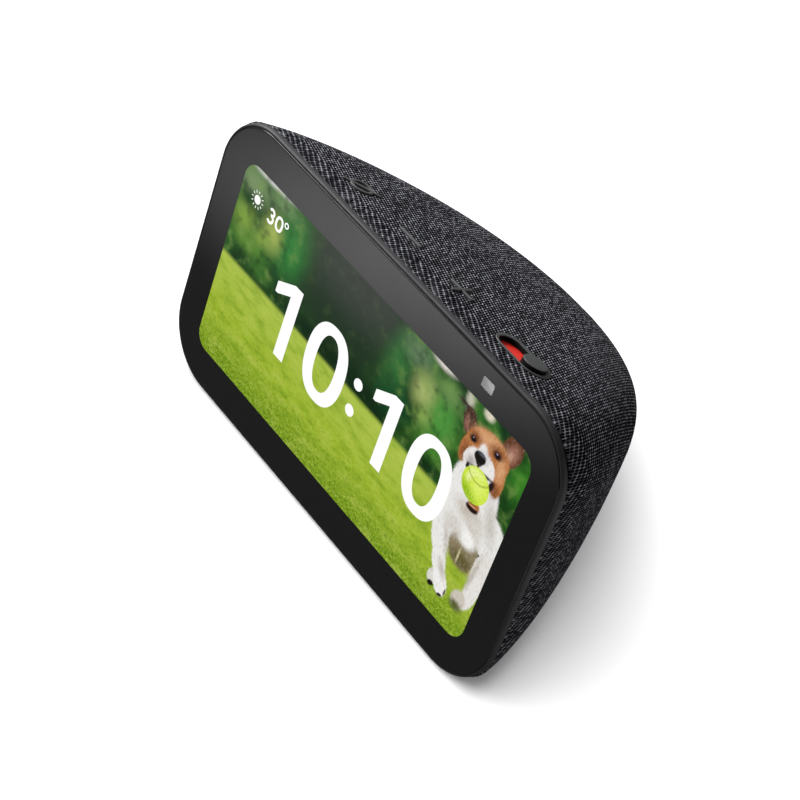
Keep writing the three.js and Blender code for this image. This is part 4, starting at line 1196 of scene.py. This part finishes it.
def shade_walls(thing, level):
    """Paints shade on the walls below a level, down inside the slot: they get a near-black, duller material that
    stands in for the shade there.
    """
    thing.data.materials.append(looks["slot_wall"])
    back = TOP.inverted()
    for face in thing.data.polygons:
        if (back @ face.center).z < level:
            face.material_index = 1


def shutter_controls():
    profile = [
        (0, RING_DEPTH),
        (0, RING_RISE - 0.2),
        (0.05, RING_RISE - 0.08),
        (0.15, RING_RISE),
        (0.8, RING_RISE),
        (0.95, RING_RISE - 0.08),
        (1, RING_RISE - 0.2),
        (1, RING_DEPTH),
    ]
    ring = made("slider_ring", swept(slider_ring_outline, profile, True), TOP, looks["control_plastic"])
    shade_walls(ring, RING_RISE - 0.25)
    stands_for(smoothed(ring), "shutter_ring", "housing")

    grip = pill(KNOB_LENGTH, KNOB_WIDTH, KNOB, 24)
    dome = [(1.0, KNOB_TOP - 0.02), (2.2, KNOB_TOP)]
    crown = rounded_top(RING_DEPTH, KNOB_TOP - 0.06, 0.2, 4) + dome
    knob = made("slider_knob", swept(grip, crown), TOP, looks["control_plastic"])
    # The knob's sides get the same painted shade.
    shade_walls(knob, KNOB_TOP - 0.25)
    stands_for(smoothed(knob, 50), "shutter_knob", "shutter")


def power_socket():
    low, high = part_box("jack_bezel")
    local = PANEL.inverted() @ ((low + high) / 2)
    outline = disc(JACK_COLLAR_R, (local.x, local.y), 24)
    face = -BODY_REAR - 0.4
    profile = [
        (0, face + 4.4),
        (0, face + 0.25),
        (0.08, face + 0.07),
        (0.25, face),
        (0.7, face + 0.02),
        (1.4, face + 0.3),
        (2, face + 0.9),
        (2, face + 4.4),
    ]
    collar = made("jack_collar", swept(outline, profile, True), PANEL, looks["shell_plastic"])
    stands_for(smoothed(collar), "jack_bezel", "housing")


# ------------------------------------------------------------------ finishes of every slot
looks = {
    "glass_black": inked_glass("glass_black"),
    "clear_lens": clear_lens("clear_lens"),
    "rim_plastic": moulded("rim_plastic", srgb(34, 34, 36), 0.6, gloss=0.4),
    "knit_fabric": knitted("knit_fabric"),
    "shell_plastic": moulded("shell_plastic", srgb(22, 22, 24), 0.55, 0.16, 0.01),
    "control_plastic": moulded("control_plastic", srgb(56, 57, 57), 0.55, 0.1, 0.004),
    # slot_wall is painted shade: near-black for the shaded walls inside the slot and the knob's sides.
    "slot_wall": moulded("slot_wall", srgb(8, 9, 9), 0.75, 0.1, 0.004, gloss=0.1),
    "red_plastic": moulded("red_plastic", srgb(206, 38, 28), 0.45, 0.12, 0.004, 0.06),
    "shutter_plastic": white_with_painted_glow("shutter_plastic"),
    "display_film": film("display_film", (0.12, 0.14, 0.16, 1.0), 0.12),
    "diffuser_white": film("diffuser_white", (0.8, 0.8, 0.78, 1.0), 0.35),
    "foam": foam("foam", (0.02, 0.02, 0.02, 1.0)),
    "rubber": rubber("rubber", (0.015, 0.015, 0.016, 1.0)),
    "steel": metal("steel", (0.5, 0.51, 0.53, 1.0), 0.34),
    "aluminium": metal("aluminium", (0.6, 0.61, 0.63, 1.0), 0.3),
    "board_green": circuit_board("board_green", (0.015, 0.09, 0.045, 1.0)),
    "chip_black": moulded("chip_black", (0.012, 0.012, 0.013, 1.0), 0.5, 0.08, 0.004),
    "cone_paper": pressed_paper("cone_paper", (0.012, 0.012, 0.013, 1.0)),
    "magnet_iron": metal("magnet_iron", (0.2, 0.2, 0.21, 1.0), 0.45, (900.0, 900.0, 900.0), 0.01),
    "copper": metal("copper", (0.62, 0.3, 0.13, 1.0), 0.3),
    "screw_steel": metal("screw_steel", (0.4, 0.4, 0.42, 1.0), 0.28, (1500.0, 1500.0, 1500.0)),
}
SOFT_EDGED = ("base_plate", "rubber_foot", "camera_window", "shutter_blade", "shutter_slide", "power_jack")
SOFT_EDGE = 0.12


def finish_cad_nodes():
    """Gives each carried-over CAD node its slot's material, and softens the edges of visible ones."""
    for part in frame["record"]["subparts"]:
        node = frame["nodes"][part["node"]]
        node.data.materials.clear()
        node.data.materials.append(looks[part["material_slot"]])
    for name in SOFT_EDGED:
        softer = frame["nodes"][name].modifiers.new("soft_edge", "BEVEL")
        softer.width = SOFT_EDGE * MM
        softer.segments = 2
        softer.limit_method = "ANGLE"
        softer.angle_limit = math.radians(40)


# ------------------------------------------------------------------ studio
PATCH_CENTRE = (-0.15, -0.235, 0.0)
PATCH_REACH = 0.145
PATCH_LEVEL = 1.8
MIRROR_LEVEL = 0.14
RIGHT_LEVEL = 0.9
FLOOR_GLOW = 0.12
SKY_FULL = 1.6  # height less x at which the sky reaches its full level
SKY_DIM = 0.08
SKY_BRIGHT = 0.85
LAMPS = {  # place and size in metres, and power in watts
    "floor_light": ((-0.34, -0.05, 1.5), 2.0, 47),
    "key_light": ((-0.42, -0.06, 0.46), 0.3, 2.4),
    "side_light": ((-0.5, 0.12, 0.4), 0.3, 4.6),
}


def studio():
    floor_size = 6.0
    bpy.ops.mesh.primitive_plane_add(size=floor_size, location=(0, 0, 0))
    floor = bpy.context.object
    floor.name = "studio_floor"
    s = Shader("studio_floor")
    paper = s.noise(9.0, 2.0)
    pale = s.mix((0.88, 0.88, 0.88, 1.0), (0.9, 0.9, 0.9, 1.0), paper)
    light_path = s.node("LightPath")
    # The floor throws little light back, so the sides stay darker than the top.
    s.set(Base_Color=s.mix(pale, (0.5, 0.5, 0.5, 1.0), light_path.outputs["Is Diffuse Ray"]))
    s.set(Roughness=0.9, Specular_IOR_Level=0.0)
    # Seen in the glass, the floor is dark, with one soft bright patch in front of the panel;
    # the rim's right side catches the bright floor beside it.
    reach = s.vector("LENGTH", s.vector("SUBTRACT", s.place, PATCH_CENTRE))
    patch = s.remap(reach, 0.0, PATCH_REACH, PATCH_LEVEL, MIRROR_LEVEL, smooth=True)
    right = s.node("SeparateXYZ", {0: s.place}).outputs[0]
    beside = s.remap(right, 0.075, 0.13, MIRROR_LEVEL, RIGHT_LEVEL, smooth=True)
    level = s.math("MAXIMUM", patch, beside)
    mirror = s.node("Emission", {"Color": (1, 1, 1, 1), "Strength": level}).outputs[0]
    glossy = light_path.outputs["Is Glossy Ray"]
    # A glow that only the camera sees lifts the shadow a little and keeps the far floor white.
    far = s.remap(s.vector("LENGTH", s.place), 0.45, 1.3, FLOOR_GLOW, 1.0, smooth=True)
    glow = s.times(light_path.outputs["Is Camera Ray"], far)
    s.set(Emission_Color=(1, 1, 1, 1), Emission_Strength=glow)
    both = s.node("MixShader", {0: glossy, 1: s.surface.outputs[0], 2: mirror}).outputs[0]
    s.feed(s.tree.nodes["Material Output"].inputs["Surface"], both)
    floor.data.materials.append(s.material)

    # The sky is bright overhead and on the left and dim elsewhere; the camera sees an even pale wall.
    world = bpy.data.worlds.new("studio")
    world.use_nodes = True
    tree = world.node_tree
    height = tree.nodes.new("ShaderNodeSeparateXYZ")
    tree.links.new(tree.nodes.new("ShaderNodeTexCoord").outputs["Generated"], height.inputs[0])
    overhead = tree.nodes.new("ShaderNodeMapRange")
    side = tree.nodes.new("ShaderNodeMath")
    side.operation = "MULTIPLY_ADD"
    tree.links.new(height.outputs["X"], side.inputs[0])
    side.inputs[1].default_value = -1.0
    tree.links.new(height.outputs["Z"], side.inputs[2])
    tree.links.new(side.outputs[0], overhead.inputs["Value"])
    overhead.inputs["From Max"].default_value = SKY_FULL
    overhead.inputs["To Min"].default_value = SKY_DIM
    overhead.inputs["To Max"].default_value = SKY_BRIGHT
    level = tree.nodes.new("ShaderNodeMapRange")
    seen = tree.nodes.new("ShaderNodeLightPath").outputs["Is Camera Ray"]
    tree.links.new(seen, level.inputs["Value"])
    tree.links.new(overhead.outputs["Result"], level.inputs["To Min"])
    level.inputs["To Max"].default_value = 1.0
    sky = tree.nodes["Background"]
    sky.inputs["Color"].default_value = (1, 1, 1, 1)
    tree.links.new(level.outputs["Result"], sky.inputs["Strength"])
    bpy.context.scene.world = world

    lamps = {}
    for name, (spot, size, power) in LAMPS.items():
        data = bpy.data.lights.new(name, "AREA")
        data.size = size
        data.energy = power
        lamp = bpy.data.objects.new(name, data)
        lamp.location = spot
        lamp.visible_camera = False
        lamp.rotation_euler = (-Vector(spot)).to_track_quat("-Z", "Y").to_euler()
        bpy.context.scene.collection.objects.link(lamp)
        lamps[name] = lamp
    # One lamp lights only the floor, and so sets its shadow; the others shape only the object.
    for group, state in (("floor_only", "INCLUDE"), ("all_but_floor", "EXCLUDE")):
        receivers = bpy.data.collections.new(group)
        receivers.objects.link(floor)
        receivers.collection_objects[0].light_linking.link_state = state
        for name, lamp in lamps.items():
            if (name == "floor_light") == (state == "INCLUDE"):
                lamp.light_linking.receiver_collection = receivers
    bpy.context.scene.view_settings.view_transform = "Standard"


def camera():
    data = bpy.data.cameras.new("camera")
    data.lens = 103.9
    data.sensor_width = 36
    data.clip_start = 0.02
    eye = bpy.data.objects.new("camera", data)
    eye.location = (0.3210, -0.2399, 0.4980)
    forward = Vector((-0.5256, 0.3676, -0.7672))
    eye.rotation_euler = forward.to_track_quat("-Z", "Y").to_euler()
    bpy.context.scene.collection.objects.link(eye)
    bpy.context.scene.camera = eye


def build():
    finish_cad_nodes()
    glass_and_rim()
    screen()
    cover = knitted_cover()
    combined(cover, cloth_cutters(), "DIFFERENCE")
    stands_for(smoothed(cover, 50), "fabric_cover", "housing")
    symbols()
    shutter_controls()
    power_socket()
    studio()
    camera()


build()
